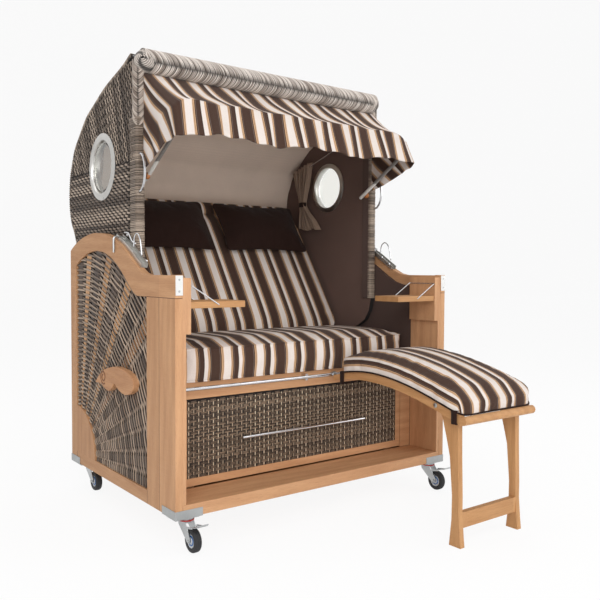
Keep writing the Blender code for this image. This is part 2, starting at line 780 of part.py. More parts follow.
def inner_side(side, name):
    """Cheek and cloth-covered board in one outline, with the table's board and the hood's pivot on it."""
    ys = np.linspace(CHEEK_DEPTH, BACK_FACE - TOUCH, LINING_STEPS)
    top = [(y, arch_height(y) - LINING_DROP) for y in ys]
    cheek_top = ARM_HEIGHT - CHEEK_DROP
    outline = [(CHEEK_SETBACK, DECK + TOUCH), (CHEEK_SETBACK, cheek_top), (CHEEK_DEPTH, cheek_top), *top,
               (ys[-1], FLOOR + TOUCH), (FRONT_FACE, FLOOR + TOUCH), (FRONT_FACE, DECK + TOUCH)]
    board = as_mesh(prism(name, "X", [outline], *span(side, CHEEK_FACE, CARCASE_HALF), LINING))
    middle = (CHEEK_FACE + CARCASE_HALF) / 2
    low_x, high_x = span(side, BOARD_FACE, middle)
    table = box("table_board", (low_x, TABLE_BOARD[0], TABLE_BOARD_HEIGHTS[0]),
                (high_x, TABLE_BOARD[1], TABLE_BOARD_HEIGHTS[1]), TEAK)
    head = HOOD_INSIDE - TOUCH - PIVOT_HEAD_THICKNESS / 2
    shaft = cylinder("pivot_shaft", "X", (side * (head + middle) / 2, *HOOD_PIVOT), PIVOT_RADIUS, middle - head,
                     ZINC)
    cap = cylinder("pivot_head", "X", (side * head, *HOOD_PIVOT), PIVOT_HEAD, PIVOT_HEAD_THICKNESS, ZINC)
    return combine(board, [table, shaft, cap], "UNION")


def floor_and_deck():
    """Floor, the thicker deck board across the front, and two runners for the drawer."""
    rear = BACK_FACE - TOUCH
    line = [(0, 0), (0, DECK), (CHEEK_DEPTH, DECK), (CHEEK_DEPTH, FLOOR), (rear, FLOOR), (rear, 0)]
    floor = as_mesh(prism("floor_and_deck", "X", [line], -CARCASE_HALF, CARCASE_HALF, TEAK))
    start = FRONT_FACE + FRONT_THICKNESS
    runners = []
    for side in (-1, 1):
        low_x, high_x = span(side, CARCASE_HALF - RUNNER_INSET, CARCASE_HALF - RUNNER_INSET + RUNNER_WIDTH)
        runners.append(box("runner", (low_x, start, FLOOR / 2),
                           (high_x, rear - RUNNER_BACK_GAP, DECK + DRAWER_FOOT_GAP - TOUCH), TEAK))
    return combine(floor, runners, "UNION")


def seat_box():
    """Frame round the drawer's opening, with the seat board behind its top rail."""
    half = DRAWER_OPENING / 2
    foot = DECK + TOUCH
    rail_foot = SEAT_HEIGHT - SEAT_RAIL
    line = [(-BETWEEN_HALF, foot), (-BETWEEN_HALF, SEAT_HEIGHT), (BETWEEN_HALF, SEAT_HEIGHT), (BETWEEN_HALF, foot),
            (half, foot), (half, rail_foot), (-half, rail_foot), (-half, foot)]
    rear = FRONT_FACE + FRONT_THICKNESS
    frame = as_mesh(prism("seat_box", "Y", [line], FRONT_FACE, rear, TEAK))
    board = box("seat_board", (TOUCH - BETWEEN_HALF, rear - FRONT_THICKNESS / 2, SEAT_HEIGHT - SEAT_BOARD),
                (BETWEEN_HALF - TOUCH, SEAT_BOARD_END, SEAT_HEIGHT - TOUCH), TEAK)
    return combine(frame, [board], "UNION")


def base_pieces():
    return [
        *pair("side_frame", side_frame),
        *pair("side_weave", side_weave),
        *pair("carry_handle", carry_handle),
        *pair("inner_side", inner_side),
        *pair("recline_rack", recline_rack),
        floor_and_deck(),
        box("back_panel", (-CARCASE_HALF, BACK_FACE, 0), (CARCASE_HALF, BACK_FACE + BACK_PANEL, BACK_HEIGHT),
            WICKER),
        seat_box(),
        footrest_tube(),
        seat_cushion(),
    ]


def drawer_pieces():
    """Box whose front has a recessed woven field, and the long bar handle on it."""
    half = DRAWER_OPENING / 2 - DRAWER_SIDE_GAP
    low = DECK + DRAWER_FOOT_GAP
    high = SEAT_HEIGHT - SEAT_RAIL - DRAWER_SIDE_GAP
    front = FRONT_FACE + DRAWER_SIDE_GAP / 2
    inside = half - DRAWER_FRAME
    face = box("drawer_box", (-half, front, low), (half, front + DRAWER_FRONT, high), TEAK)
    field = box("drawer_field", (-inside, front - OVERRUN, low + DRAWER_FRAME),
                (inside, front + DRAWER_RECESS, high - DRAWER_TOP_STRIP), TEAK)
    box_front = front + DRAWER_FRONT / 2
    width = half - DRAWER_SIDE_GAP
    rear = BACK_FACE - DRAWER_BACK_GAP
    shell = box("drawer_shell", (-width, box_front, low + TOUCH), (width, rear, low + DRAWER_HEIGHT), TEAK)
    hollow = box("drawer_hollow", (DRAWER_WALL - width, front + DRAWER_FRONT, low + DRAWER_WALL),
                 (width - DRAWER_WALL, rear - DRAWER_WALL, low + DRAWER_HEIGHT + OVERRUN), TEAK)
    combine(face, [shell], "UNION")
    combine(face, [field, hollow], "DIFFERENCE")
    bar_y = front - BAR_STANDOFF
    bar = cylinder("drawer_bar", "X", (0, bar_y, BAR_HEIGHT), BAR_RADIUS, BAR_LENGTH, CHROME)
    post_end = front + DRAWER_RECESS - TOUCH
    posts = [cylinder("bar_post", "Y", (side * (BAR_LENGTH / 2 - BAR_POST_INSET), (bar_y + post_end) / 2, BAR_HEIGHT),
                      BAR_POST_RADIUS, post_end - bar_y, CHROME) for side in (-1, 1)]
    combine(bar, posts, "UNION")
    return [face, bar]


def footrest_tube():
    """Tube across the seat front, welded to a block in the middle and a flange at each end."""
    body = cylinder("footrest_tube", "X", (0, TUBE_Y, TUBE_Z), TUBE_RADIUS, 2 * BETWEEN_HALF - FLANGE_THICKNESS,
                    CHROME)
    block = box("tube_block", (-BRACKET_WIDTH / 2, TUBE_Y, TUBE_Z - BRACKET_HEIGHT / 2),
                (BRACKET_WIDTH / 2, FRONT_FACE - TOUCH, TUBE_Z + BRACKET_HEIGHT / 2), ZINC)
    flange_x = BETWEEN_HALF - FLANGE_THICKNESS / 2
    flanges = [cylinder("tube_flange", "X", (side * flange_x, TUBE_Y, TUBE_Z), FLANGE_RADIUS, FLANGE_THICKNESS,
                        ZINC) for side in (-1, 1)]
    return combine(body, [block, *flanges], "UNION")


def corner_plate(name, x, y):
    """Caster plate under the base, bent up round the corner of the base in two short walls."""
    side = math.copysign(1, x)
    inward = 1 if y < BASE_DEPTH / 2 else -1
    edge = -TOUCH if inward > 0 else BASE_DEPTH + TOUCH
    outside = BASE_WIDTH / 2 + TOUCH
    reach_x, reach_y = outside - CORNER_FRONT, edge + inward * CORNER_SIDE
    line = [(outside + SHEET, edge - inward * SHEET), (outside + SHEET, reach_y), (outside, reach_y),
            (outside, edge), (reach_x, edge), (reach_x, edge - inward * SHEET)]
    line = [(side * across, depth) for across, depth in line]
    walls = as_mesh(prism(name, "Z", [line], -TOUCH - PLATE_THICKNESS / 2, CORNER_HEIGHT, ZINC))
    low_x, high_x = span(side, CASTER_X - PLATE_SIZE / 2, outside + SHEET / 2)
    low_y, high_y = sorted((y + inward * PLATE_SIZE / 2, edge - inward * SHEET / 2))
    plate = box("caster_plate", (low_x, low_y, -TOUCH - PLATE_THICKNESS), (high_x, high_y, -TOUCH), ZINC)
    return combine(walls, [plate], "UNION")


# Casters

def caster_fork(name, x, y):
    """Race, crown, two cheeks and the axle, as one welded fork."""
    race_top = -2 * TOUCH - PLATE_THICKNESS
    crown_z = race_top - RACE_HEIGHT
    fork = cylinder(name, "Z", (x, y, race_top - RACE_HEIGHT / 2), RACE_RADIUS, RACE_HEIGHT, ZINC, ROUND_STEPS)
    half = FORK_INSIDE / 2 + FORK_SHEET
    length = FORK_LENGTH / 2
    tools = [box("crown", (x - half, y - length, crown_z - FORK_SHEET), (x + half, y + length, crown_z + FORK_SHEET),
                 ZINC)]
    drop = CASTER_HEIGHT - WHEEL_RADIUS + crown_z
    outline = scaled(FORK_SHARES, (y, crown_z), (TRAIL, drop + OVERRUN))
    for side in (-1, 1):
        near, far = span(side, FORK_INSIDE / 2, half)
        tools.append(as_mesh(prism("fork_cheek", "X", [outline], x + near, x + far, ZINC)))
    tools.append(cylinder("axle", "X", (x, y - TRAIL, WHEEL_RADIUS - CASTER_HEIGHT), AXLE_RADIUS, AXLE_LENGTH,
                          ZINC))
    return combine(fork, tools, "UNION")


def caster_wheel(name, x, y):
    """Tyre and hub turned as one wheel with a bore on the axle."""
    half = WHEEL_WIDTH / 2
    bore = AXLE_RADIUS + TOUCH
    edge = WHEEL_RADIUS - half / 3
    face = half - HUB_RECESS
    right = [(HUB_RADIUS, half), (edge, half), (WHEEL_RADIUS, half / 2)]
    left = [(radius, -height) for radius, height in reversed(right)]
    hub = [(HUB_RADIUS, -face), (BOSS_RADIUS, -face), (BOSS_RADIUS, -half), (bore, -half), (bore, half),
           (BOSS_RADIUS, half), (BOSS_RADIUS, face), (HUB_RADIUS, face)]
    place = (x, y - TRAIL, WHEEL_RADIUS - CASTER_HEIGHT)
    return turned(name, place, right + left + hub, RUBBER)


def brake_pedal(name, x, y):
    """Bent toe plate with an ear outside each fork cheek."""
    hinge_y, hinge_z = y + PEDAL_HINGE[0], PEDAL_HINGE[1]
    slope = PEDAL_RISE / PEDAL_REACH
    start = (hinge_y - PEDAL_START, hinge_z + PEDAL_START * slope)
    end = (hinge_y - PEDAL_REACH, hinge_z + PEDAL_RISE)
    toe = (end[0] - PEDAL_TOE, end[1] + PEDAL_TOE)
    plate = [start, end, toe, (toe[0] + PEDAL_SHEET, toe[1] + PEDAL_SHEET), (end[0], end[1] + PEDAL_SHEET),
             (start[0], start[1] + PEDAL_SHEET)]
    body = as_mesh(prism(name, "X", [plate], x - PEDAL_WIDTH / 2, x + PEDAL_WIDTH / 2, ZINC))
    ears = []
    ear = [(hinge_y + 2 * PEDAL_SHEET, hinge_z - PEDAL_SHEET), (start[0] - 2 * PEDAL_TOE, start[1]),
           (start[0] - 2 * PEDAL_TOE, start[1] + PEDAL_TOE), (hinge_y, hinge_z + PEDAL_TOE)]
    for side in (-1, 1):
        near, far = span(side, PEDAL_WIDTH / 2 - PEDAL_SHEET, PEDAL_WIDTH / 2)
        ears.append(as_mesh(prism("pedal_ear", "X", [ear], x + near, x + far, ZINC)))
    return combine(body, ears, "UNION")


# Side tables and recline latches

def table_leaf(side, name):
    low_x, high_x = span(side, TABLE_EDGE - TABLE_LENGTH, TABLE_EDGE)
    return box(name, (low_x, TABLE_FRONT, TABLE_TOP - TABLE_THICKNESS),
               (high_x, TABLE_FRONT + TABLE_DEPTH, TABLE_TOP), TEAK)


def table_stay(side, name):
    """Bail from the top of the table board to the leaf's front and rear edges."""
    top = (side * STAY_X, STAY_TOP)
    foot = (side * (STAY_X - STAY_REACH), STAY_TOP - STAY_DROP)
    front = TABLE_FRONT - STAY_SIDE_GAP - STAY_RADIUS
    rear = TABLE_FRONT + TABLE_DEPTH + STAY_SIDE_GAP + STAY_RADIUS
    path = [(foot[0], front, foot[1]), (top[0], front, top[1]), (top[0], rear, top[1]), (foot[0], rear, foot[1])]
    return tube(name, round_corners(path, STAY_RADIUS * 2), STAY_RADIUS, CHROME, 1)


def rack_line(height, extra=0.0):
    """Line along the arm's rise at a height over its top edge, with an extra length at both ends."""
    start, end = RACK_START - extra, RACK_END + extra
    ys = [start, *[y for y, _ in ARCH if start < y < end], end]
    return offset([(y, arch_height(y)) for y in ys], height, closed=False)


def recline_rack(side, name):
    """Channel along the arm's rise, open above, with a hole for the lever's rod."""
    inner = INNER_FACE - RACK_OVERHANG
    block = rack_line(TOUCH) + rack_line(TOUCH + RACK_FLANGE)[::-1]
    rack = as_mesh(prism(name, "X", [block], *span(side, inner, inner + RACK_WIDTH), ZINC))
    groove = rack_line(TOUCH + RACK_SHEET, OVERRUN) + rack_line(RACK_FLANGE + OVERRUN, OVERRUN)[::-1]
    cutter = as_mesh(prism("rack_groove", "X", [groove],
                           *span(side, inner + RACK_SHEET, inner + RACK_WIDTH - RACK_SHEET), ZINC))
    hole = cylinder("rack_hole", "X", (side * INNER_FACE, LEVER_Y, LEVER_Z), LEVER_RADIUS + TOUCH,
                    RACK_WIDTH * 2, ZINC)
    return combine(rack, [cutter, hole], "DIFFERENCE")


LEVER_Z = arch_height(LEVER_Y) + LEVER_RISE


def latch_lever(side, name):
    """Rod through the rack that hangs down outside the arm."""
    outside = BASE_WIDTH / 2 + SHEET + LEVER_RADIUS
    path = [(side * (BASE_WIDTH / 2 - LEVER_REACH), LEVER_Y, LEVER_Z), (side * outside, LEVER_Y, LEVER_Z),
            (side * outside, LEVER_Y, LEVER_Z - LEVER_DROP)]
    return tube(name, round_corners(path, LEVER_BEND), LEVER_RADIUS, CHROME, 1)


# Hood

HOOD_LINE = smooth(scaled(HOOD_SHARES, (HOOD_FRONT, HOOD_FOOT), (HOOD_DEPTH, HOOD_TOP - HOOD_FOOT)), 2)
RIM_BACK = HOOD_FRONT + RIM_DEPTH


def lean_reach():
    """Length of the backrest's leaning line from its foot to the inside of the hood's back."""
    foot = np.array(LEAN_FOOT)
    way = np.array((math.sin(LEAN), math.cos(LEAN)))
    inner = np.array(offset(HOOD_LINE, -HOOD_SHEET, closed=False))
    across = (inner - foot) @ np.array((way[1], -way[0]))
    along = (inner - foot) @ way
    meets = [np.interp(0.0, sorted(pair), [run for _, run in sorted(zip(pair, runs))])
             for pair, runs in zip(zip(across, across[1:]), zip(along, along[1:])) if pair[0] * pair[1] <= 0]
    return float(min(run for run in meets if run > 0))


BACK_BOARD_LENGTH = lean_reach() - BACK_BOARD_GAP
BACK_CUSHION_LENGTH = BACK_BOARD_LENGTH + BACK_CUSHION_OVERHANG
PILLOW_START = BACK_CUSHION_LENGTH - PILLOW_DROP


def row_line():
    """Outer line of the hood with shallow grooves between its rows of weave, each row four points long."""
    line = np.array(HOOD_LINE)
    runs = np.concatenate([[0], np.cumsum(np.linalg.norm(np.diff(line, axis=0), axis=1))])
    sunk = np.array(offset(HOOD_LINE, -ROW_SINK, closed=False))
    count = int((runs[-1] - 2 * ROW_MARGIN) / ROW_PITCH)
    start = (runs[-1] - count * ROW_PITCH) / 2
    made = [HOOD_LINE[0]]
    for k in range(count):
        for share, depth in ROW_SHARES:
            run = start + (k + share) * ROW_PITCH
            top, low = ([float(np.interp(run, runs, points[:, axis])) for axis in (0, 1)] for points in (line, sunk))
            made.append(tuple(t + (s - t) * depth for t, s in zip(top, low)))
    return made + [HOOD_LINE[-1]]


def hood_back():
    """Roof and back in one bent sheet, from behind the top roll down behind the base."""
    inner = offset(HOOD_LINE, -HOOD_SHEET, closed=False)
    inner[0] = (HOOD_LINE[0][0], inner[0][1])
    return prism("hood_back", "X", [row_line() + inner[::-1]], -HOOD_HALF, HOOD_HALF, WICKER)


def hood_side(side, name):
    """Side panel under the roof sheet, with a rounded lower front corner, a tail and a porthole."""
    under = offset(HOOD_LINE, -HOOD_SHEET - TOUCH, closed=False)
    front_y = RIM_BACK + TOUCH
    start_z = float(np.interp(front_y, [p[0] for p in under[:8]], [p[1] for p in under[:8]]))
    kept = [p for p in under if p[0] > front_y and p[1] > TAIL_TOP]
    tail_y = kept[-1][0]
    tail = scaled(TAIL_SHARES, HOOD_PIVOT, (TAIL_RADIUS, TAIL_RADIUS))
    corner = [(HOOD_FRONT, RIM_FOOT - TOUCH), (front_y, RIM_FOOT - TOUCH)]
    outline = [(front_y, start_z), *kept, (tail_y, TAIL_TOP), *tail[:-1], *corner]
    port = arc(PORT_PLACE, PORT_RADIUS, 0, 2 * math.pi, PORT_STEPS)[:-1]
    bore = arc(HOOD_PIVOT, PIVOT_RADIUS + TOUCH, 0, 2 * math.pi, SMALL_STEPS)[:-1]
    return prism(name, "X", [outline, port, bore], *span(side, HOOD_INSIDE, HOOD_HALF), WICKER)


def hood_rim():
    """Rim: a thick roll over the top and a flat post down each side, with the awning's knob on it."""
    roll = cylinder("hood_rim", "X", (0, *ROLL_PLACE), ROLL_RADIUS, HOOD_WIDTH, WICKER, ROUND_STEPS)
    tools = []
    for side in (-1, 1):
        post_x = HOOD_HALF - RIM_WIDTH
        low_x, high_x = span(side, post_x, HOOD_HALF - TOUCH)
        tools.append(box("rim_post", (low_x, HOOD_FRONT, RIM_FOOT), (high_x, RIM_BACK, ROLL_PLACE[1]), WICKER))
        inner = BOW_X + BOW_RADIUS + TOUCH
        outer = post_x + RIM_WIDTH / 4
        tools.append(cylinder("knob", "X", (side * (inner + outer) / 2, *KNOB_PLACE), KNOB_RADIUS, outer - inner,
                              TEAK))
    return combine(roll, tools, "UNION")


def porthole_frame(side, name):
    """Wide outer ring, sleeve through the hood side and narrower inner ring, in one profile."""
    sleeve = PORT_RADIUS - TOUCH
    outer = HOOD_SIDE + TOUCH
    top = outer + PORT_RING_THICKNESS
    foot = -TOUCH - PORT_RING_THICKNESS
    profile = [(PORT_SIGHT, top), (PORT_OUTER_RING, top), (PORT_OUTER_RING, outer), (sleeve, outer),
               (sleeve, -TOUCH), (PORT_INNER_RING, -TOUCH), (PORT_INNER_RING, foot), (PORT_SIGHT, foot)]
    return turned(name, (side * HOOD_INSIDE, *PORT_PLACE), facing(side, profile), ALUMINIUM, PORT_STEPS)


def porthole_pane(side, name):
    """Pane in the frame's sleeve, flush with the hood side."""
    x = HOOD_HALF - PANE_THICKNESS / 2
    return cylinder(name, "X", (side * x, *PORT_PLACE), PORT_SIGHT - TOUCH, PANE_THICKNESS, PANE, PORT_STEPS)


def grab_handle(side, name):
    """Bow on the rim's front, square to it at both ends."""
    top, foot = GRAB_HEIGHTS
    x = side * (HOOD_HALF - GRAB_INSET)
    ends = [Vector((x, HOOD_FRONT - TOUCH, z)) for z in (top, foot)]
    feet = [end - Vector((0, GRAB_RADIUS, 0)) for end in ends]
    pull = Vector((0, -(GRAB_REACH - GRAB_RADIUS) * 4 / 3, 0))
    bow = interpolate_bezier(feet[0], feet[0] + pull, feet[1] + pull, feet[1], CURVE_STEPS + 2)
    return tube(name, [ends[0], *bow, ends[1]], GRAB_RADIUS, CHROME, 1)


def curtain(side, name):
    """Gathered cloth, drawn in at the tie: fluted rings down from its rod, which is bent to the hood side."""
    wall = side * (HOOD_INSIDE - TOUCH)
    path = [(wall, *ROD_FRONT), (side * ROD_X, *ROD_FRONT), (side * ROD_X, *ROD_REAR), (wall, *ROD_REAR)]
    rod = as_mesh(tube("curtain_rod", round_corners(path, ROD_RADIUS * 2), ROD_RADIUS, GREY_TUBE, 1))
    heights = np.linspace(CURTAIN_TOP, CURTAIN_FOOT, CURTAIN_STEPS + 1)
    stops = [CURTAIN_FOOT, CURTAIN_TIE, CURTAIN_TOP]
    angles = np.linspace(0, 2 * math.pi, CURTAIN_RING, endpoint=False)
    made = bmesh.new()
    rings = []
    for z in heights:
        half = np.interp(z, stops, [CURTAIN_HALF_FOOT, CURTAIN_HALF_TIE, CURTAIN_HALF_TOP])
        thick = np.interp(z, stops, [CURTAIN_THICKNESS, CURTAIN_TIE_THICKNESS, CURTAIN_THICKNESS]) / 2
        below = max(0.0, (CURTAIN_TIE - z) / (CURTAIN_TIE - CURTAIN_FOOT))
        centre_y = CURTAIN_Y - CURTAIN_LEAN * below
        fold = 1 - CURTAIN_FOLD / thick * (0.5 + 0.5 * np.cos(CURTAIN_FOLDS * 2 * angles))
        xs = side * ROD_X + thick * fold * np.sin(angles)
        ys = centre_y + half * np.cos(angles)
        zs = z + (ys - centre_y) * (ROD_REAR[1] - ROD_FRONT[1]) / (ROD_REAR[0] - ROD_FRONT[0])
        rings.append([made.verts.new(place) for place in zip(xs, ys, zs)])
    for upper, lower in zip(rings, rings[1:]):
        for k in range(CURTAIN_RING):
            n = (k + 1) % CURTAIN_RING
            made.faces.new((upper[k], upper[n], lower[n], lower[k]))
    made.faces.new(rings[0])
    made.faces.new(rings[-1])
    bmesh.ops.recalc_face_normals(made, faces=made.faces)
    mesh = bpy.data.meshes.new(name)
    made.to_mesh(mesh)
    made.free()
    cloth = link(bpy.data.objects.new(name, mesh), CURTAIN_CLOTH)
    return combine(cloth, [rod], "UNION")


def back_cushion():
    size = (BACK_CUSHION_WIDTH, BACK_CUSHION_LENGTH, BACK_CUSHION_THICKNESS)
    return cushion("back_cushion", size, STRIPE,
                   shape=lambda points: tilted(points, BACK_CUSHION_START, TOUCH))


def head_pillow(side, name):
    """Dark pillow that rests on the back cushion near its top."""
    size = (PILLOW_WIDTH, PILLOW_LENGTH, PILLOW_THICKNESS)
    out = BACK_CUSHION_THICKNESS + 2 * TOUCH - PILLOW_SINK
    x = side * (PILLOW_GAP + PILLOW_WIDTH) / 2
    return cushion(name, size, DARK_CLOTH, (8, 6), CROWN * 3, DRAW_IN * 2,
                   lambda points: tilted(points, PILLOW_START, out, x))


def hood_pieces():
    start, end = BACK_BOARD_START, BACK_BOARD_LENGTH
    board = [leaning(start, 0), leaning(end, 0), leaning(end, -BACK_BOARD), leaning(start, -BACK_BOARD)]
    board_half = HOOD_INSIDE - TOUCH
    return [
        hood_back(),
        *pair("hood_side", hood_side),
        hood_rim(),
        *pair("porthole_frame", porthole_frame),
        *pair("porthole_pane", porthole_pane),
        *pair("grab_handle", grab_handle),
        *pair("curtain", curtain),
        prism("backrest_board", "X", [board], -board_half, board_half, TEAK),
        back_cushion(),
        *pair("head_pillow", head_pillow),
    ]


# Awning

def awning_bow():
    """Bent tube: an arm from each knob up to the bar in the canvas's front fold."""
    left = [(-BOW_X, *BOW_TIP), (-BOW_X, *BOW_ELBOW), (-BOW_X, *BOW_BAR)]
    path = left + [(-x, y, z) for x, y, z in reversed(left)]
    return tube("awning_bow", round_corners(path, BOW_BEND), BOW_RADIUS, GREY_TUBE, 1)


def canvas_lines(share):
    """Points on the rim, the fold and the hem of the canvas at a share of its width.

    Up to the wing share the rim point climbs the side post, then it crosses under the top roll.
    """
    side = -1 if share < 0.5 else 1
    near = min(share, 1 - share)
    hem_y = BOW_BAR[0] - VALANCE_FORWARD
    hem_z = BOW_BAR[1] - VALANCE_DEPTH
    lift = BOW_RADIUS + CANVAS_CLEARANCE
    fold_y, fold_z = BOW_BAR[0] - lift, BOW_BAR[1] + lift
    rim_y = HOOD_FRONT - 3 * TOUCH
    if near < WING_SHARE:
        part = near / WING_SHARE
        eased = part ** 0.8
        rim_foot = CANVAS_KNOB + WING_START
        rim = (side * CANVAS_HALF, rim_y, rim_foot + (CANVAS_TOP - rim_foot) * part)
        hem = (side * (CANVAS_HALF + WING_FLARE * math.sin(math.pi * part)),
               rim_y + (hem_y - rim_y) * eased, CANVAS_KNOB + (hem_z - CANVAS_KNOB) * part)
        high = np.array(rim) * (1 - part) + np.array((side * (BOW_X + BOW_BEND), fold_y, fold_z)) * part
        low = (np.array(rim) + np.array(hem)) / 2
        fold = low * (1 - part) + high * part
        return np.array(rim), fold, np.array(hem)
    part = (near - WING_SHARE) / (0.5 - WING_SHARE)
    half = side * (1 - part)
    inward = min(1.0, max(0.0, part * 4 - 0.3))
    rim = np.array((half * CANVAS_HALF, rim_y + (ROLL_PLACE[0] - rim_y) * inward, CANVAS_TOP))
    fold = np.array((half * (BOW_X + BOW_BEND), fold_y, fold_z))
    hem = np.array((half * CANVAS_HALF, hem_y, hem_z))
    return rim, fold, hem


def awning_canvas():
    """Striped canvas from the rim over the bow's bar to a hanging valance, with a wing at each side."""
    points = []
    rows = 2 * CANVAS_ROWS
    for i in range(CANVAS_COLUMNS + 1):
        share = i / CANVAS_COLUMNS
        rim, fold, hem = canvas_lines(share)
        near = min(share, 1 - share)
        for j in range(rows + 1):
            t = j / CANVAS_ROWS
            place = rim + (fold - rim) * min(t, 1) + (hem - fold) * max(t - 1, 0)
            wave = math.sin(math.pi * j / rows) * CANVAS_FOLD * math.sin(share * math.pi * 14)
            sag = CANVAS_SAG * math.sin(math.pi * min(t, 1)) * min(1.0, near / WING_SHARE) ** 2
            inward = -math.copysign(1, share - 0.5) if near < WING_SHARE else 0.0
            points.append(place + np.array((wave * inward, wave * (t > 1), -sag)))
    mesh = bpy.data.meshes.new("awning_canvas")
    across = rows + 1
    faces = [(i * across + j, i * across + j + 1, (i + 1) * across + j + 1, (i + 1) * across + j)
             for i in range(CANVAS_COLUMNS) for j in range(rows)]
    mesh.from_pydata([tuple(p) for p in points], [], faces)
    mesh.shade_smooth()
    canvas = link(bpy.data.objects.new("awning_canvas", mesh), STRIPE)
    wall = canvas.modifiers.new("cloth", "SOLIDIFY")
    wall.thickness = CANVAS
    wall.offset = 1.0
    return canvas


# Footrest

def rest_line(share):
    """Centre of a footrest rail: a cubic arch from the tube end (0) to the front end (1)."""
    weights = ((1 - share) ** 3, 3 * share * (1 - share) ** 2, 3 * share ** 2 * (1 - share), share ** 3)
    height = sum(w * z for w, z in zip(weights, REST_HEIGHTS))
    depth = REST_DEPTHS[0] + (REST_DEPTHS[1] - REST_DEPTHS[0]) * min(1.0, share * 3)
    return REST_REAR + (REST_FRONT - REST_REAR) * share, height, depth


def rest_top(y):
    """Top of the footrest rails at a depth."""
    share = np.clip((np.asarray(y) - REST_REAR) / (REST_FRONT - REST_REAR), 0, 1)
    steps = np.linspace(0, 1, 4 * REST_STEPS + 1)
    tops = [height + depth / 2 for _, height, depth in map(rest_line, steps)]
    return np.interp(share, steps, tops)


def rest_hook(name, x):
    """Ring over the tube, open below, at the rear end of a footrest rail."""
    centre = (TUBE_Y, TUBE_Z)
    outer = arc(centre, HOOK_RADIUS, HOOK_START, HOOK_START + HOOK_OPEN, HOOK_STEPS)
    inner = arc(centre, TUBE_RADIUS + TOUCH, HOOK_START, HOOK_START + HOOK_OPEN, HOOK_STEPS)
    return prism(name, "X", [outer + inner[::-1]], x - HOOK_WIDTH / 2, x + HOOK_WIDTH / 2, ZINC)


def rest_frame():
    """Two arched side rails with a bent panel between them and a round bar across their front ends."""
    line = [rest_line(k / REST_STEPS) for k in range(REST_STEPS + 1)]
    outline = [(y, z + d / 2) for y, z, d in line] + [(y, z - d / 2) for y, z, d in reversed(line)]
    nears = (REST_X[0], REST_X[1] - REST_BOARD)
    rails = [as_mesh(prism(name, "X", [outline], near, near + REST_BOARD, TEAK))
             for name, near in zip(("footrest_frame", "footrest_rail"), nears)]
    ys = np.linspace(*PANEL_YS, REST_STEPS)
    top = [(y, float(rest_top(y))) for y in ys]
    under = [(y, z - PANEL_THICKNESS) for y, z in reversed(top)]
    panel = as_mesh(prism("footrest_panel", "X", [top + under], REST_X[0] + REST_BOARD / 2,
                          REST_X[1] - REST_BOARD / 2, TEAK))
    middle_x = (REST_X[0] + REST_X[1]) / 2
    bar = cylinder("end_bar", "X", (middle_x, END_BAR_Y, REST_HEIGHTS[-1]), END_BAR_RADIUS,
                   REST_X[1] - REST_X[0] + 2 * END_BAR_OVERHANG, TEAK)
    bores = [cylinder("pin_bore", "X", (near + REST_BOARD / 2, *REST_BOLT), PIN_RADIUS + TOUCH,
                      REST_BOARD + OVERRUN, ZINC) for near in nears]
    combine(rails[0], [rails[1], panel, bar], "UNION")
    return combine(rails[0], bores, "DIFFERENCE")


def rest_legs():
    """Two legs inside the rails, with a cross rail near their feet and a headed pin through each rail."""
    outline = scaled(LEG_SHARES, (LEG_FRONT, -CASTER_HEIGHT), (LEG_WIDTH, LEG_HEIGHT))
    inside = REST_BOARD + TOUCH
    nears = (REST_X[0] + inside, REST_X[1] - inside - LEG_THICKNESS)
    legs = [as_mesh(prism(name, "X", [outline], near, near + LEG_THICKNESS, TEAK))
            for name, near in zip(("footrest_legs", "footrest_leg"), nears)]
    y, z = CROSS_PLACE
    half = Vector((0, CROSS_THICKNESS / 2, CROSS_HEIGHT / 2))
    tools = [legs[1], box("cross_rail", Vector((nears[0] + LEG_THICKNESS / 2, y, z)) - half,
                          Vector((nears[1] + LEG_THICKNESS / 2, y, z)) + half, TEAK)]
    for face, outward in ((REST_X[0], -1), (REST_X[1], 1)):
        head = face + outward * (TOUCH + REST_BOLT_THICKNESS / 2)
        root = face - outward * (inside + LEG_THICKNESS / 2)
        tools.append(cylinder("pin", "X", ((head + root) / 2, *REST_BOLT), PIN_RADIUS, abs(head - root), ZINC))
        tools.append(cylinder("pin_head", "X", (head, *REST_BOLT), REST_BOLT_RADIUS, REST_BOLT_THICKNESS, ZINC))
    return combine(legs[0], tools, "UNION")


def rest_cushion():
    """Pad bent over the rails and down to the end bar."""
    low_x, high_x = REST_X[0] - REST_CUSHION_SIDES[0], REST_X[1] + REST_CUSHION_SIDES[1]
    rear, front = REST_CUSHION_Y
    size = (high_x - low_x, rear - front, REST_CUSHION_THICKNESS)

    def lay(points):
        y = front + points[:, 1]
        return np.stack([points[:, 0] + (low_x + high_x) / 2, y, points[:, 2] + rest_top(y) + TOUCH], axis=1)

    return cushion("footrest_cushion", size, STRIPE, (10, 14), CROWN, DRAW_IN, lay)


def seat_cushion():
    size = (SEAT_CUSHION_WIDTH, SEAT_CUSHION_LENGTH, SEAT_CUSHION_THICKNESS)
    lift = np.array((0, SEAT_CUSHION_START, SEAT_HEIGHT + TOUCH))
    return cushion("seat_cushion", size, STRIPE, shape=lambda points: points + lift)


# Assembly: the base first, then each moving body on an empty at its joint

ORIGINS["chair"] = Vector((0, MIDDLE_Y, -CASTER_HEIGHT))
base = joint_empty("chair", (0, MIDDLE_Y, -CASTER_HEIGHT))
base.location = (0, 0, 0)
carry(base, *base_pieces())

drawer = joint_empty("drawer_slide", (0, FRONT_FACE, DECK), base)
carry(drawer, *drawer_pieces())

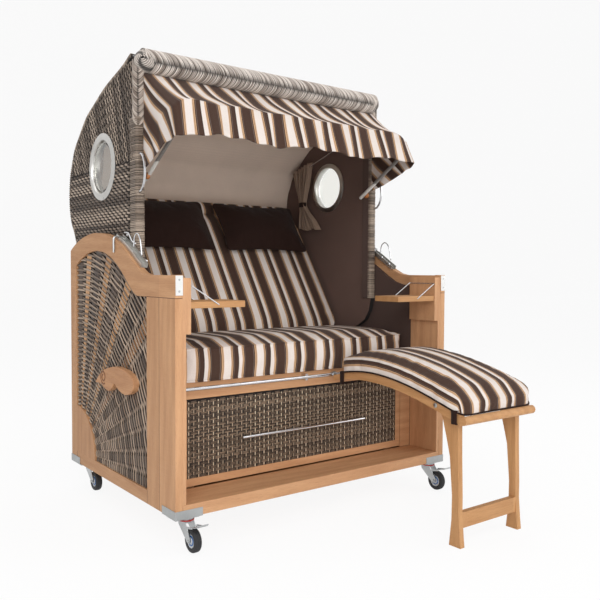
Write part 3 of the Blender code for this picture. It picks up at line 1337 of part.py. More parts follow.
for row, caster_y in zip(("front", "rear"), CASTER_YS):
    for where, caster_x in (("left", -CASTER_X), ("right", CASTER_X)):
        corner = row + "_" + where
        carry(base, corner_plate("corner_plate_" + corner, caster_x, caster_y))
        swivel = joint_empty("swivel_" + corner, (caster_x, caster_y, 0), base)
        carry(swivel, caster_fork("fork_" + corner, caster_x, caster_y))
        axle = joint_empty("axle_" + corner, (caster_x, caster_y - TRAIL, WHEEL_RADIUS - CASTER_HEIGHT), swivel)
        carry(axle, caster_wheel("wheel_" + corner, caster_x, caster_y))
        if row == "front":
            toe_hinge = (caster_x, caster_y + PEDAL_HINGE[0], PEDAL_HINGE[1])
            pedal = joint_empty("pedal_" + corner, toe_hinge, swivel)
            carry(pedal, brake_pedal("brake_" + corner, caster_x, caster_y))

for where, side_sign in (("left", -1), ("right", 1)):
    leaf = joint_empty("table_hinge_" + where, (side_sign * TABLE_EDGE, 0, TABLE_TOP - TABLE_THICKNESS), base)
    carry(leaf, table_leaf(side_sign, "table_" + where))
    stays = joint_empty("stay_hinge_" + where, (side_sign * STAY_X, 0, STAY_TOP), base)
    carry(stays, table_stay(side_sign, "table_stay_" + where))
    latch = joint_empty("latch_hinge_" + where, (side_sign * INNER_FACE, LEVER_Y, LEVER_Z), base)
    carry(latch, latch_lever(side_sign, "latch_lever_" + where))

hood = joint_empty("hood_pivot", (0, *HOOD_PIVOT), base)
carry(hood, *hood_pieces(), awning_canvas())
awning = joint_empty("awning_pivot", (0, *KNOB_PLACE), hood)
carry(awning, awning_bow())

slider = joint_empty("footrest_slider", (0, TUBE_Y, TUBE_Z), base)
carry(slider, rest_hook("footrest_hook_left", REST_X[0] + REST_BOARD / 2),
      rest_hook("footrest_hook_right", REST_X[1] - REST_BOARD / 2))
rest = joint_empty("footrest_hinge", (0, TUBE_Y, TUBE_Z), slider)
carry(rest, rest_frame(), rest_cushion())
leg_hinge = joint_empty("footrest_leg_hinge", (0, *REST_BOLT), rest)
carry(leg_hinge, rest_legs())
bpy.context.view_layer.update()
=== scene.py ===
"""Hooded beach chair: finishes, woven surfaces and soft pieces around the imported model.

Metres, +Z up.  The chair stands on the floor at Z 0; its front faces -Y.
"""
import json
import math
from functools import cache

import bmesh
import bpy
import numpy as np
from bpy.props import FloatProperty, FloatVectorProperty, PointerProperty
from mathutils import Matrix, Vector

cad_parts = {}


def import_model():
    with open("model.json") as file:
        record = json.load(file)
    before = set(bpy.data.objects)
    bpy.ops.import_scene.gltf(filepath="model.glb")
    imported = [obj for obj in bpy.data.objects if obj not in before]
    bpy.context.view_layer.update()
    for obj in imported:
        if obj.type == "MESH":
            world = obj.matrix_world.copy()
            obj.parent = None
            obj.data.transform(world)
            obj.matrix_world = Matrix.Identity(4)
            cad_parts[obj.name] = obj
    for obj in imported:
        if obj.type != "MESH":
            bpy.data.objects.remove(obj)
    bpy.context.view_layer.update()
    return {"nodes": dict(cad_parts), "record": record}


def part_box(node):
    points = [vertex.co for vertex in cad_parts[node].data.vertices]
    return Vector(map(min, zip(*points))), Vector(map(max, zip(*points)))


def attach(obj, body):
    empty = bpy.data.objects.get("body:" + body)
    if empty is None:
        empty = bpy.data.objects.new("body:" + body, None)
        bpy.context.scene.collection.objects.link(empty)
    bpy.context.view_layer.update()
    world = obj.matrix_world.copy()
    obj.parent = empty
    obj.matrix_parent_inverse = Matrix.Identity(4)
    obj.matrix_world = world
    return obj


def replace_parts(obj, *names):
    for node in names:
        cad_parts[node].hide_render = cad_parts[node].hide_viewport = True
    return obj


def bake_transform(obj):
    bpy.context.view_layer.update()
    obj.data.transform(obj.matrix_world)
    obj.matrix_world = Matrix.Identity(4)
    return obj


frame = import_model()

bl_info = {
    "name": "Hooded beach chair",
    "version": (1, 0, 0),
    "blender": (4, 5, 0),
    "location": "3D View > Sidebar > Beach Chair",
    "description": "Wicker, wood, cloth and fittings of a hooded beach chair",
    "category": "Object",
}


# Places on the model

FRONT, UNDER = (float(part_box("side_frame_left")[0][axis]) for axis in (1, 2))
SIDES = {"left": -1, "right": 1}
BODY = {node: body for body, nodes in frame["record"]["behaviour"]["bodies"].items() for node in nodes}


def world(points):
    """Rows of (x, y, z) in the base's own frame, moved onto the model: y from its front, z from its underside."""
    return np.asarray(points, dtype=float) + np.array((0.0, FRONT, UNDER))


def spots(x, y, z):
    """Points on the model from their three numbers in the base's own frame, each a number or a grid."""
    return np.stack(np.broadcast_arrays(x, FRONT + y, UNDER + z), axis=-1)


# Curves worked out with numpy

def unit(vectors):
    """Vectors over their lengths."""
    return vectors / np.linalg.norm(vectors, axis=-1, keepdims=True)


def circle(count):
    """Angles at even steps once round."""
    return np.linspace(0, 2 * math.pi, count, endpoint=False)


def bezier(a, b, c, d, steps):
    """Cubic between a and d pulled by b and c: each point mixes the four by the powers of t and 1 - t."""
    t = np.linspace(0, 1, steps + 1)[:, None]
    a, b, c, d = (np.asarray(p, dtype=float) for p in (a, b, c, d))
    return (1 - t) ** 3 * a + 3 * t * (1 - t) ** 2 * b + 3 * t ** 2 * (1 - t) * c + t ** 3 * d


def through(points, steps):
    """Smooth line through points: each span is a cubic whose slopes are a third of its neighbours' difference."""
    p = np.asarray(points, dtype=float)
    p = np.vstack([2 * p[0] - p[1], p, 2 * p[-1] - p[-2]])
    spans = [bezier(b, b + (c - a) / 6, c - (d - b) / 6, c, steps)[1:] for a, b, c, d in zip(p, p[1:], p[2:], p[3:])]
    return np.vstack([p[1], *spans])


def rounded(path, radius, steps=6):
    """Path whose inner corners are replaced by curves that start and end a radius from them."""
    out = [path[0]]
    for before, at, after in zip(path, path[1:], path[2:]):
        a, b = at + unit(before - at) * radius, at + unit(after - at) * radius
        out += list(bezier(a, (a + at) / 2, (b + at) / 2, b, steps))
    return np.array(out + [path[-1]])


def steps_of(line):
    """Unit steps along a flat line, by the differences of its points, and the unit normals to its left."""
    step = unit(np.gradient(line, axis=0))
    return step, np.stack([-step[:, 1], step[:, 0]], axis=1)


def shifted(line, distance):
    """Open line moved to its left by a distance, along the mean of the normals at each point."""
    return line + steps_of(line)[1] * distance


def lengths(points):
    """Length run at each point of a line, or of each line in a stack: the sum of the steps before it."""
    steps = np.linalg.norm(np.diff(points, axis=-2), axis=-1)
    return np.concatenate([np.zeros(steps.shape[:-1] + (1,)), np.cumsum(steps, axis=-1)], axis=-1)


def resampled(line, count):
    """Line with points at even distances along it, and its whole length."""
    runs = lengths(line)
    at = np.linspace(0, runs[-1], count)
    return np.stack([np.interp(at, runs, line[:, k]) for k in range(line.shape[1])], axis=1), runs[-1]


def inside(points, outline):
    """Whether each point lies in a closed outline: it does where a ray from it crosses an odd number of edges."""
    a = np.asarray(outline, dtype=float)
    b = np.roll(a, -1, axis=0)
    x, y = points[..., 0, None], points[..., 1, None]
    over = (a[:, 1] > y) != (b[:, 1] > y)
    slope = (b[:, 0] - a[:, 0]) / np.where(b[:, 1] == a[:, 1], 1e-12, b[:, 1] - a[:, 1])
    return (np.sum(over & (x < a[:, 0] + (y - a[:, 1]) * slope), axis=-1) % 2) == 1


# Meshes from grids of points

def surface(name, grids, body, finish, uv=None, tone=None, low=None, wrap=(False, False), flip=False):
    """Mesh of one or many like grids of points, patch x row x column x 3, joined into four-sided faces.

    wrap closes a grid on itself along its rows or columns, flip turns its faces over; uv, tone and low
    give each point a place on the cloth, a shade of its own and how deep it lies in a weave.
    """
    grids = np.asarray(grids, dtype=np.float32)
    if grids.ndim == 3:
        grids = grids[None]
    count, rows, columns, _ = grids.shape
    index = np.arange(count * rows * columns).reshape(count, rows, columns)
    if wrap[0]:
        index = np.concatenate([index, index[:, :1]], axis=1)
    if wrap[1]:
        index = np.concatenate([index, index[:, :, :1]], axis=2)
    corners = [index[:, :-1, :-1], index[:, 1:, :-1], index[:, 1:, 1:], index[:, :-1, 1:]]
    quads = np.stack(corners[::-1] if flip else corners, axis=-1).reshape(-1, 4)
    mesh = bpy.data.meshes.new(name)
    mesh.vertices.add(grids.size // 3)
    mesh.vertices.foreach_set("co", grids.ravel())
    mesh.loops.add(quads.size)
    mesh.loops.foreach_set("vertex_index", quads.ravel().astype(np.int32))
    mesh.polygons.add(len(quads))
    mesh.polygons.foreach_set("loop_start", np.arange(0, quads.size, 4, dtype=np.int32))
    mesh.update(calc_edges=True)
    if uv is not None:
        flat = np.asarray(uv, dtype=np.float32).reshape(-1, 2)[quads.ravel()]
        mesh.uv_layers.new(name="cloth").data.foreach_set("uv", flat.ravel())
    for label, values in (("tone", tone), ("low", low)):
        if values is not None:
            layer = mesh.attributes.new(label, "FLOAT", "POINT")
            layer.data.foreach_set("value", np.asarray(values, dtype=np.float32).ravel())
    mesh.shade_smooth()
    return placed(name, mesh, body, finish)


def placed(name, mesh, body, finish):
    """Object for a mesh, with a finish by name or a material, riding on a body.

    The slot goes by the material's own name: one that the model already has is numbered.
    """
    obj = bpy.data.objects.new(name, mesh)
    bpy.context.scene.collection.objects.link(obj)
    mesh.materials.clear()
    mesh.materials.append(look(finish) if isinstance(finish, str) else finish)
    if body:
        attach(obj, body)
    return obj


def applied(obj):
    """Object with its modifiers worked into its mesh."""
    mesh = bpy.data.meshes.new_from_object(obj.evaluated_get(bpy.context.evaluated_depsgraph_get()))
    obj.modifiers.clear()
    obj.data = mesh
    return obj


def walled(obj, thickness, offset):
    """Cloth with its two sides a thickness apart."""
    wall = obj.modifiers.new("cloth", "SOLIDIFY")
    wall.thickness, wall.offset = thickness, offset
    return applied(obj)


def coords(mesh):
    """Places of a mesh's points, one row each."""
    place = np.empty(len(mesh.vertices) * 3, np.float32)
    mesh.vertices.foreach_get("co", place)
    return place.reshape(-1, 3)


def cleaned(obj, distance=1e-6, sharp=None):
    """Object whose doubles are merged and whose faces all point outwards, with edges sharp past an angle."""
    made = bmesh.new()
    made.from_mesh(obj.data)
    bmesh.ops.remove_doubles(made, verts=made.verts, dist=distance)
    bmesh.ops.recalc_face_normals(made, faces=made.faces)
    made.to_mesh(obj.data)
    made.free()
    obj.data.shade_smooth()
    if sharp:
        obj.data.set_sharp_from_angle(angle=math.radians(sharp))
    return obj


def capped(rings):
    """Rings of points, each end drawn together to its middle."""
    ends = [np.broadcast_to(rings[k].mean(axis=0), rings[k].shape)[None] for k in (0, -1)]
    return np.concatenate([ends[0], rings, ends[1]])


def bar(name, rings, body, finish, sharp=None, flip=False):
    """Solid through rings of points, closed at both ends."""
    return cleaned(surface(name, capped(rings), body, finish, wrap=(False, True), flip=flip), sharp=sharp)


def frames(path):
    """Side and upward unit vectors along a path; the side starts level and turns as little as it can."""
    ahead = unit(np.gradient(path, axis=0))
    side = np.cross(ahead[0], (0, 0, 1))
    if np.linalg.norm(side) < 1e-3:
        side = np.array((1.0, 0, 0))
    sides = []
    for way in ahead:
        side = unit(side - way * np.dot(side, way))
        sides.append(side)
    return np.array(sides), np.cross(sides, ahead)


def rings_round(line, side, up, radius, count):
    """Circles round a line's points: the radius times the cosine of each angle along side and the sine along up."""
    turn = circle(count)[None, :, None]
    return line[:, None] + radius * (np.cos(turn) * side[:, None] + np.sin(turn) * up[:, None])


def pipe(name, path, radius, body, finish, ring=8):
    """Round bar along a path in the base's own frame."""
    path = world(path)
    return bar(name, rings_round(path, *frames(path), radius, ring), body, finish, flip=True)


def hoop(name, line, up, radius, body, finish):
    """Cord round a closed line: rings of a radius in the plane of up and the line's side."""
    ahead = unit(np.roll(line, -1, axis=0) - np.roll(line, 1, axis=0))
    side = unit(np.cross(ahead, np.broadcast_to(up, line.shape)))
    grid = rings_round(line, side, np.cross(side, ahead), radius, 8)
    return cleaned(surface(name, grid, body, finish, wrap=(True, True)))


def lathe(name, profile, centre, body, finish, axis="X", steps=48, sharp=35):
    """Turned piece: each (radius, height) of the profile goes round the axis through the centre.

    Heights run along X or Z, or towards the front for Y; the centre is in the base's own frame.
    """
    radius, h = np.repeat(np.asarray(profile, dtype=float).T[:, :, None], steps, axis=2)
    a, b = radius * np.cos(circle(steps)), radius * np.sin(circle(steps))
    order = {"X": (h, a, b), "Y": (a, -h, b), "Z": (a, b, h)}[axis]
    grid = np.stack(order, axis=-1) + world(centre)
    return cleaned(surface(name, grid, body, finish, wrap=(False, True)), sharp=sharp)


def outward(profile, way):
    """Profile whose heights run to the side given by a sign."""
    return [(radius, way * height) for radius, height in profile]


def bevelled(obj, width, segments=2, harden=False):
    """Object whose edges are rounded."""
    edge = obj.modifiers.new("rounded_edges", "BEVEL")
    edge.width, edge.segments, edge.harden_normals = width, segments, harden
    edge.limit_method, edge.angle_limit = "ANGLE", math.radians(35)
    return obj


def box(name, low, high, body, finish, bevel=0.0004):
    """Box between two corners in the base's own frame, its edges rounded."""
    share = np.array([[(a, b, c) for a, b in ((0, 0), (1, 0), (1, 1), (0, 1))] for c in (0, 1)], dtype=float)
    low, high = np.minimum(low, high), np.maximum(low, high)
    return bevelled(bar(name, world(low + share * (high - low)), body, finish, 30), bevel)


def slab(name, outer, inner, half, body, finish):
    """Bent board across the chair between an outer and an inner line, closed on every side."""
    ends = [spots(x, line[:, 0], line[:, 1])
            for line, x in ((outer, -half), (outer, half), (inner, half), (inner, -half))]
    return bar(name, np.stack(ends, axis=1), body, finish, 40)


def dressed(node, finish, bevel=0.0018, segments=2, sharp=50):
    """Copy of a CAD node with its doubles merged and its edges rounded, which stands for the node."""
    mesh = frame["nodes"][node].data.copy()
    for layer in ("custom_normal", "sharp_edge", "sharp_face"):
        if layer in mesh.attributes:
            mesh.attributes.remove(mesh.attributes[layer])
    made = bmesh.new()
    made.from_mesh(mesh)
    bmesh.ops.remove_doubles(made, verts=made.verts, dist=1e-5)
    bmesh.ops.dissolve_limit(made, angle_limit=math.radians(0.5), verts=made.verts, edges=made.edges)
    made.to_mesh(mesh)
    made.free()
    for layer in list(mesh.uv_layers):
        mesh.uv_layers.remove(layer)
    mesh.shade_smooth()
    obj = placed(node + "_finish", mesh, BODY[node], finish)
    if bevel:
        bevelled(obj, bevel, segments, True)
    else:
        mesh.set_sharp_from_angle(angle=math.radians(sharp))
    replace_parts(obj, node)
    return obj


def recoloured(node, finish):
    """CAD node that stays as it is, in a finish."""
    materials = frame["nodes"][node].data.materials
    materials.clear()
    materials.append(look(finish))


def sunk(node, deep, finish, beyond):
    """Copy of a CAD node whose outermost faces, past a distance from the middle, are moved inwards."""
    obj = dressed(node, finish, 0)
    place = coords(obj.data)
    outer = np.abs(place[:, 0]) > beyond
    place[outer, 0] = np.sign(place[outer, 0]) * (beyond - deep)
    obj.data.vertices.foreach_set("co", place.ravel())
    cleaned(obj, 1e-5, 40)


# Shader nodes

def sum_of(operation):
    """Method that makes one sum on a value and another."""
    def method(self, other=0.0):
        return value(self.tree, "Math", {0: self, 1: other}, operation=operation)
    return method


class Value:
    """What a node puts out; each sum written on it is one more node in its tree, and | takes the larger."""
    __add__, __sub__, __mul__, __truediv__ = map(sum_of, ("ADD", "SUBTRACT", "MULTIPLY", "DIVIDE"))
    __lt__, __gt__, __or__ = map(sum_of, ("LESS_THAN", "GREATER_THAN", "MAXIMUM"))
    __abs__, sine, fract = map(sum_of, ("ABSOLUTE", "SINE", "FRACT"))

    def __init__(self, socket):
        self.socket, self.tree = socket, socket.id_data


def feed(tree, socket, given):
    """Socket linked to what a node puts out, or set to a plain value."""
    if isinstance(given, Value):
        tree.links.new(given.socket, socket)
    else:
        socket.default_value = given


def node(tree, kind, inputs=None, **settings):
    """Node of a kind with its settings made and its inputs fed."""
    made = tree.nodes.new("ShaderNode" + kind)
    for key, given in settings.items():
        setattr(made, key, given)
    for key, given in (inputs or {}).items():
        feed(tree, made.inputs[key], given)
    return made


def value(tree, kind, inputs=None, output=0, **settings):
    """What a new node puts out at one of its sockets."""
    return Value(node(tree, kind, inputs, **settings).outputs[output])


def parts(place):
    """X, Y and Z of a place."""
    return [Value(socket) for socket in node(place.tree, "SeparateXYZ", {0: place}).outputs]


def mixed(share, a, b):
    """Colour between a and b at a share."""
    return value(share.tree, "Mix", {0: share, 6: a, 7: b}, 2, data_type="RGBA")


def product(a, b):
    """Colour a times a value b."""
    return value(b.tree, "Mix", {0: 1.0, 6: a, 7: b}, 2, data_type="RGBA", blend_type="MULTIPLY")


def spread(given, low, high, to_low=0.0, to_high=1.0):
    """Value stretched from one range to another and held at its ends."""
    return value(given.tree, "MapRange", {0: given, 1: low, 2: high, 3: to_low, 4: to_high})


def noise(place, scale, detail, roughness):
    """Cloudy pattern from 0 to 1."""
    return value(place.tree, "TexNoise", {"Vector": place, "Scale": scale, "Detail": detail, "Roughness": roughness})


def stretched(place, scale):
    """Place times a scale on each axis."""
    return value(place.tree, "Mapping", {"Vector": place, "Scale": scale})


def grain_nodes(given):
    """Wood along X: long fibres, broad bands of growth and short pores, over a slow change of shade."""
    place = given["Vector"]
    broad = noise(stretched(place, (1.4, 14, 14)), 2.2, 3, 0.6)
    bands = value(place.tree, "TexWave", {"Vector": stretched(place, (0.7, 9, 9)), "Scale": 1.6, "Distortion": 5.0,
                                          "Detail": 2.5, "Detail Scale": 1.3},
                  1, wave_type="BANDS", bands_direction="DIAGONAL")
    fibre = noise(stretched(place, (9, 260, 260)), 2.6, 3, 0.6)
    pores = spread(noise(stretched(place, (28, 620, 620)), 2.0, 1, 0.5), 0.62, 0.74)
    share = spread(broad * 0.60 + bands * 0.10 + fibre * 0.45, 0.28, 0.88)
    tone = mixed(pores * 0.35, mixed(share, given["Light"], given["Dark"]), given["Pore"])
    return {"Color": tone, "Roughness": spread(fibre, 0.3, 0.7, 0.50, 0.66), "Height": fibre - pores * 0.6}


def cloth_nodes(given):
    """Woven threads of a pitch along X, Y and Z: sines of the place, with slubs and a slow change of shade."""
    place = given["Vector"]
    x, y, z = [(part / given["Pitch"] * (2 * math.pi)).sine() for part in parts(place)]
    thread = x * y + y * z + x * z
    slub = noise(place, 900.0, 2, 0.6)
    slow = noise(place, 6.0, 3, 0.6)
    tone = (thread * 0.04 + spread(slub, 0.3, 0.7, 0.90, 1.06)) * spread(slow, 0.3, 0.7, 0.94, 1.05)
    return {"Shade": tone, "Height": thread * 0.3 + slub}


# Colours are typed as the eye sees them, 0 to 255, and turned into light

def shade(colour):
    """Light of a screen colour: each part over 255, to the power 2.2."""
    return tuple((c / 255) ** 2.2 for c in colour) + (1.0,)


def darker(light, share):
    """Light times a share."""
    return tuple(c * share for c in light[:3]) + (1.0,)


STRIPE_REPEAT = 0.135
STRIPE_COLOURS = {"dark": (74, 56, 48), "line": (112, 100, 96), "tan": (196, 158, 122), "cream": (226, 215, 208)}
STRIPES = [
    (0.000, "dark"), (0.240, "line"), (0.255, "dark"), (0.285, "tan"), (0.315, "dark"), (0.322, "tan"),
    (0.350, "cream"), (0.560, "tan"), (0.588, "dark"), (0.595, "tan"), (0.622, "dark"), (0.652, "line"),
    (0.664, "dark"), (0.790, "cream"), (0.892, "tan"), (0.918, "dark"), (0.925, "tan"), (0.950, "dark"),
    (0.975, "line"), (0.988, "dark")]


def stripe_nodes(given):
    """Stripes of the cloth: the part of the place past whole repeats picks a colour from the list."""
    ramp = node(given["Across"].tree, "ValToRGB", {"Fac": (given["Across"] / STRIPE_REPEAT).fract()})
    ramp.color_ramp.interpolation = "CONSTANT"
    stops = ramp.color_ramp.elements
    stops.remove(stops[-1])
    for k, (place, name) in enumerate(STRIPES):
        stop = stops.new(place) if k else stops[0]
        stop.position, stop.color = place, shade(STRIPE_COLOURS[name])
    return {"Color": Value(ramp.outputs[0])}


def strand_nodes(given):
    """Flat plastic strand: its own tone and streaks along it, with painted shade at its edges and where it lies deep in
    the weave.
    """
    u, v, _ = parts(given["Cloth"])
    tone = given["Tone"]
    place = value(u.tree, "CombineXYZ", {0: u * 22.0, 1: v * 7.0, 2: tone * 40.0})
    streak = noise(place, 1.0, 3, 0.65)
    colour = mixed(spread(tone * 0.62 + streak * 0.62, 0.28, 0.95), given["Dark"], given["Light"])
    warm = spread(noise(place, 0.35, 1, 0.5), 0.55, 0.75)
    colour = mixed(warm * given["Tan Share"], colour, given["Tan"])
    # Painted shade: the colour falls towards the strand's edges, for their rounding, and where the strand lies deep
    # under its neighbours.
    edge = abs(((v + 1.0) / 3.0).fract() - 1 / 3) * 3.0
    kept = spread(edge, 0.55, 1.0, 1.0, 0.50) * spread(given["Low"], 0.45, 0.95, 1.0, 0.15)
    return {"Color": product(colour, kept), "Roughness": spread(streak, 0.3, 0.7, 0.42, 0.62), "Height": streak}


def mark_nodes(given):
    """Handling marks: cloudy patches and fine scratches that dull a surface."""
    cloud = noise(given["Vector"], 9.0, 4, 0.6)
    fine = noise(stretched(given["Vector"], (1, 1, 14)), 160.0, 2, 0.6)
    return {"Mask": spread(cloud * 0.6 + fine * 0.4, 0.35, 0.70), "Height": fine}


WHITE = (1.0, 1.0, 1.0, 1.0)
GROUPS = {
    "wood_grain": (grain_nodes, {"Vector": None, "Light": WHITE, "Dark": WHITE, "Pore": WHITE},
                   ("Color", "Roughness", "Height")),
    "cloth_threads": (cloth_nodes, {"Vector": None, "Pitch": 0.0016}, ("Shade", "Height")),
    "cloth_stripes": (stripe_nodes, {"Across": 0.0}, ("Color",)),
    "strand_streaks_and_shade": (strand_nodes, {"Cloth": None, "Tone": 0.5, "Low": 0.0, "Light": WHITE, "Dark": WHITE,
                                      "Tan": WHITE, "Tan Share": 0.0}, ("Color", "Roughness", "Height")),
    "handling_marks": (mark_nodes, {"Vector": None}, ("Mask", "Height")),
}


@cache
def group(name):
    """Shared node group, built once; a default of None makes a vector socket, a number or colour its own kind."""
    build, inputs, outputs = GROUPS[name]
    tree = bpy.data.node_groups.new(name, "ShaderNodeTree")
    for label, given in inputs.items():
        kind = "Vector" if given is None else "Color" if given is WHITE else "Float"
        socket = tree.interface.new_socket(label, in_out="INPUT", socket_type="NodeSocket" + kind)
        if given is not None:
            socket.default_value = given
    for label in outputs:
        kind = "Color" if label == "Color" else "Float"
        tree.interface.new_socket(label, in_out="OUTPUT", socket_type="NodeSocket" + kind)
    source = tree.nodes.new("NodeGroupInput")
    target = tree.nodes.new("NodeGroupOutput")
    for label, made in build({socket.name: Value(socket) for socket in source.outputs}).items():
        feed(tree, target.inputs[label], made)
    return tree


def use(name, place, **inputs):
    """What a shared group puts out for its first socket's place and its other inputs."""
    made = place.tree.nodes.new("ShaderNodeGroup")
    made.node_tree = group(name)
    feed(place.tree, made.inputs[0], place)
    for label, given in inputs.items():
        feed(place.tree, made.inputs[label.replace("_", " ")], given)
    return {socket.name: Value(socket) for socket in made.outputs}


# Finishes: each is one finish's inputs by socket name, as a function of the place

TURNS = {"X": (0, 0, 0), "Y": (0, 0, math.pi / 2), "Z": (0, math.pi / 2, 0)}
REST_LIGHT, REST_DARK = (204, 156, 108), (164, 116, 74)
TEAK_LIGHT, TEAK_DARK, TEAK_PORE = (214, 166, 124), (174, 124, 86), (128, 86, 56)
OILED = {"Specular IOR Level": 0.35, "Coat Weight": 0.04, "Coat Roughness": 0.45}
# Dark colour behind the weaves and under the plait: painted shade seen through the gaps between strands.
GAP_SHADE = (34, 29, 27)


def cloth_map(tree):
    """Place on a cloth's or strand's own map."""
    return value(tree, "UVMap", uv_map="cloth")


def grained(axis, light=TEAK_LIGHT, dark=TEAK_DARK):
    """Oiled teak whose fibres run along an axis."""
    def build(place):
        along = value(place.tree, "Mapping", {"Vector": place, "Rotation": TURNS[axis]})
        made = use("wood_grain", along, Light=shade(light), Dark=shade(dark), Pore=shade(TEAK_PORE))
        return {"Base Color": made["Color"], "Roughness": made["Roughness"], "Height": made["Height"]}
    return build


def threaded(colour):
    """Plain woven cloth."""
    def build(place):
        threads, light = use("cloth_threads", place, Pitch=0.0016), shade(colour)
        return {"Base Color": mixed(spread(threads["Shade"], 0.85, 1.1), darker(light, 0.8), light),
                "Roughness": 0.9, "Height": threads["Height"]}
    return build


def marked(colour, rough=0.9):
    """Plain surface with handling marks."""
    def build(place):
        marks, light = use("handling_marks", place), shade(colour)
        return {"Base Color": mixed(marks["Mask"], light, darker(light, 0.75)), "Roughness": rough,
                "Height": marks["Height"]}
    return build


def finish_with(name, build, plain):
    """Material whose one shader gets plain numbers on its own sockets and what build gives for the place."""
    material = bpy.data.materials.new(name)
    material.use_nodes = True
    tree = material.node_tree
    sockets = tree.nodes["Principled BSDF"].inputs
    made = build(value(tree, "TexCoord", output="Object"))
    height, depth = made.pop("Height", None), made.pop("Depth", 0.0003)
    for key, given in {**plain, **made}.items():
        feed(tree, sockets[key], given)
    if height:
        feed(tree, sockets["Normal"], value(tree, "Bump", {"Height": height, "Distance": depth, "Strength": 0.8}))
    return material


def wood(name, *grain):
    """Wooden boards with one run of the grain."""
    return finish_with(name, grained(*grain), OILED)


STILE, BOARD_JOINT, REAR_EDGE = 0.200, 0.111, 0.838
ARM_UNDER, RAIL_TOP = 0.679, 0.045
FAN_TOP, FAN_FRONT = 0.230, 0.653
JOINT_COLOUR, JOINT_HALF = (96, 64, 42), 0.0006


def line_at(given, at):
    """1 by a value and 0 elsewhere, for the joint between two boards."""
    return spread(abs(given - at), JOINT_HALF, JOINT_HALF * 2.2, 1.0, 0.0)


def frame_wood(name):
    """Side frame of jointed boards: upright fibres in the stiles, level ones in the rails, dark joint lines."""
    def build(place):
        _, y, z = parts(place)
        y, z = y - FRONT, z - UNDER
        front, below = y < STILE, z < ARM_UNDER
        stile = (front | (y > REAR_EDGE)) * below
        corner_block = (z > RAIL_TOP) * (z < FAN_TOP) * (y > FAN_FRONT)
        level, tall = grained("Y")(place), grained("Z")(place)
        foot = (line_at(y, STILE) | line_at(y, REAR_EDGE)) * (z < RAIL_TOP)
        joint = line_at(y, BOARD_JOINT) * below | line_at(z, ARM_UNDER) * front | foot
        tone = mixed(stile | corner_block, level["Base Color"], tall["Base Color"])
        tone = mixed(joint, tone, shade(JOINT_COLOUR))
        board = spread(y, BOARD_JOINT - 0.0001, BOARD_JOINT + 0.0001, 1.0, 0.93)
        return {"Base Color": product(tone, board), "Roughness": level["Roughness"],
                "Height": level["Height"] - joint * 3.0}
    return finish_with(name, build, OILED)


def strand(name, light, dark, tan, tan_share):
    """Flat woven plastic strand."""
    def build(place):
        tone, low = (value(place.tree, "Attribute", output="Fac", attribute_name=label) for label in ("tone", "low"))
        made = use("strand_streaks_and_shade", cloth_map(place.tree), Tone=tone, Low=low, Light=shade(light), Dark=shade(dark),
                   Tan=shade(tan), Tan_Share=tan_share)
        return {"Base Color": made["Color"], "Roughness": made["Roughness"], "Height": made["Height"]}
    return finish_with(name, build, {"Specular IOR Level": 0.4})


def dull(name, colour, worn, rough, depth=0.0003, metal=0.0):
    """Plain surface with handling marks: its colour darkens and its gloss dulls in patches."""
    def build(place):
        marks = use("handling_marks", place)
        return {"Base Color": mixed(marks["Mask"], shade(colour), shade(worn)),
                "Roughness": spread(marks["Mask"], 0, 1, *rough), "Height": marks["Height"], "Depth": depth}
    return finish_with(name, build, {"Metallic": metal})


def cloth_look(name, colour_of, sheen=0.06):
    """Woven cloth: one colour, or one worked out from the place, shaded by its threads."""
    def build(place):
        threads = use("cloth_threads", place, Pitch=0.0016)
        colour = colour_of(place) if callable(colour_of) else shade(colour_of)
        return {"Base Color": product(colour, threads["Shade"]), "Height": threads["Height"]}
    return finish_with(name, build, {"Roughness": 0.9, "Sheen Weight": sheen, "Sheen Roughness": 0.5,
                                     "Specular IOR Level": 0.12})


def across_x(start):
    """Stripes that run back from the front: their place is X less a start."""
    return lambda place: use("cloth_stripes", parts(place)[0] - start)["Color"]


def across_cloth(start):
    """Stripes by the first number of the cloth's map, less a start."""
    return lambda place: use("cloth_stripes", parts(cloth_map(place.tree))[0] - start)["Color"]


def parted(name, choose, first, second, plain={}):
    """Material that shows one finish where choose gives 1 and another where it gives 0."""
    def build(place):
        share, a, b = choose(place), first(place), second(place)
        made = {"Base Color": mixed(share, b["Base Color"], a["Base Color"])}
        for key in ("Roughness", "Height"):
            made[key] = value(place.tree, "Mix", {0: share, 2: b[key], 3: a[key]}, data_type="FLOAT")
        return made
    return finish_with(name, build, plain)


def within_cheek(place):
    """1 in front of the cheek's rear edge."""
    return parts(place)[1] < FRONT + 0.1502


def within_hood(place):
    """1 on a hood side's inner face."""
    return abs(parts(place)[0]) < HOOD_INSIDE + 0.0005


def under_roof(place):
    """1 where a face of the roof sheet looks towards the middle of the hood."""
    middle = (0.0, FRONT + 0.45, UNDER + 1.0)
    away = value(place.tree, "VectorMath", {0: place, 1: middle}, operation="SUBTRACT")
    normal = value(place.tree, "NewGeometry", output="Normal")
    return value(place.tree, "VectorMath", {0: normal, 1: away}, "Value", operation="DOT_PRODUCT") < 0.0


def above_arm(place):
    """1 on the sheet metal at the arm's front, 0 on that at the feet."""
    return parts(place)[2] > UNDER + 0.5


def under_knob(place):
    """1 on the bow's lower ends."""
    return parts(place)[2] < UNDER + 1.135


def behind_weave(place):
    """1 on the drawer front's field, which the weave covers."""
    x, y, z = parts(place)
    return (abs(x) < 0.4795) * (abs(z - (UNDER + 0.2033)) < 0.1322) * (y < FRONT + 0.170)


def between_legs(place):
    """1 on the footrest's cross rail."""
    return abs(parts(place)[0] - 0.2985) < 0.118


def clear(name):
    """Glass of the portholes."""
    plain = {"Base Color": (0.96, 0.96, 0.91, 1.0), "Roughness": 0.02, "Transmission Weight": 1.0, "IOR": 1.45}
    return finish_with(name, lambda place: {}, plain)


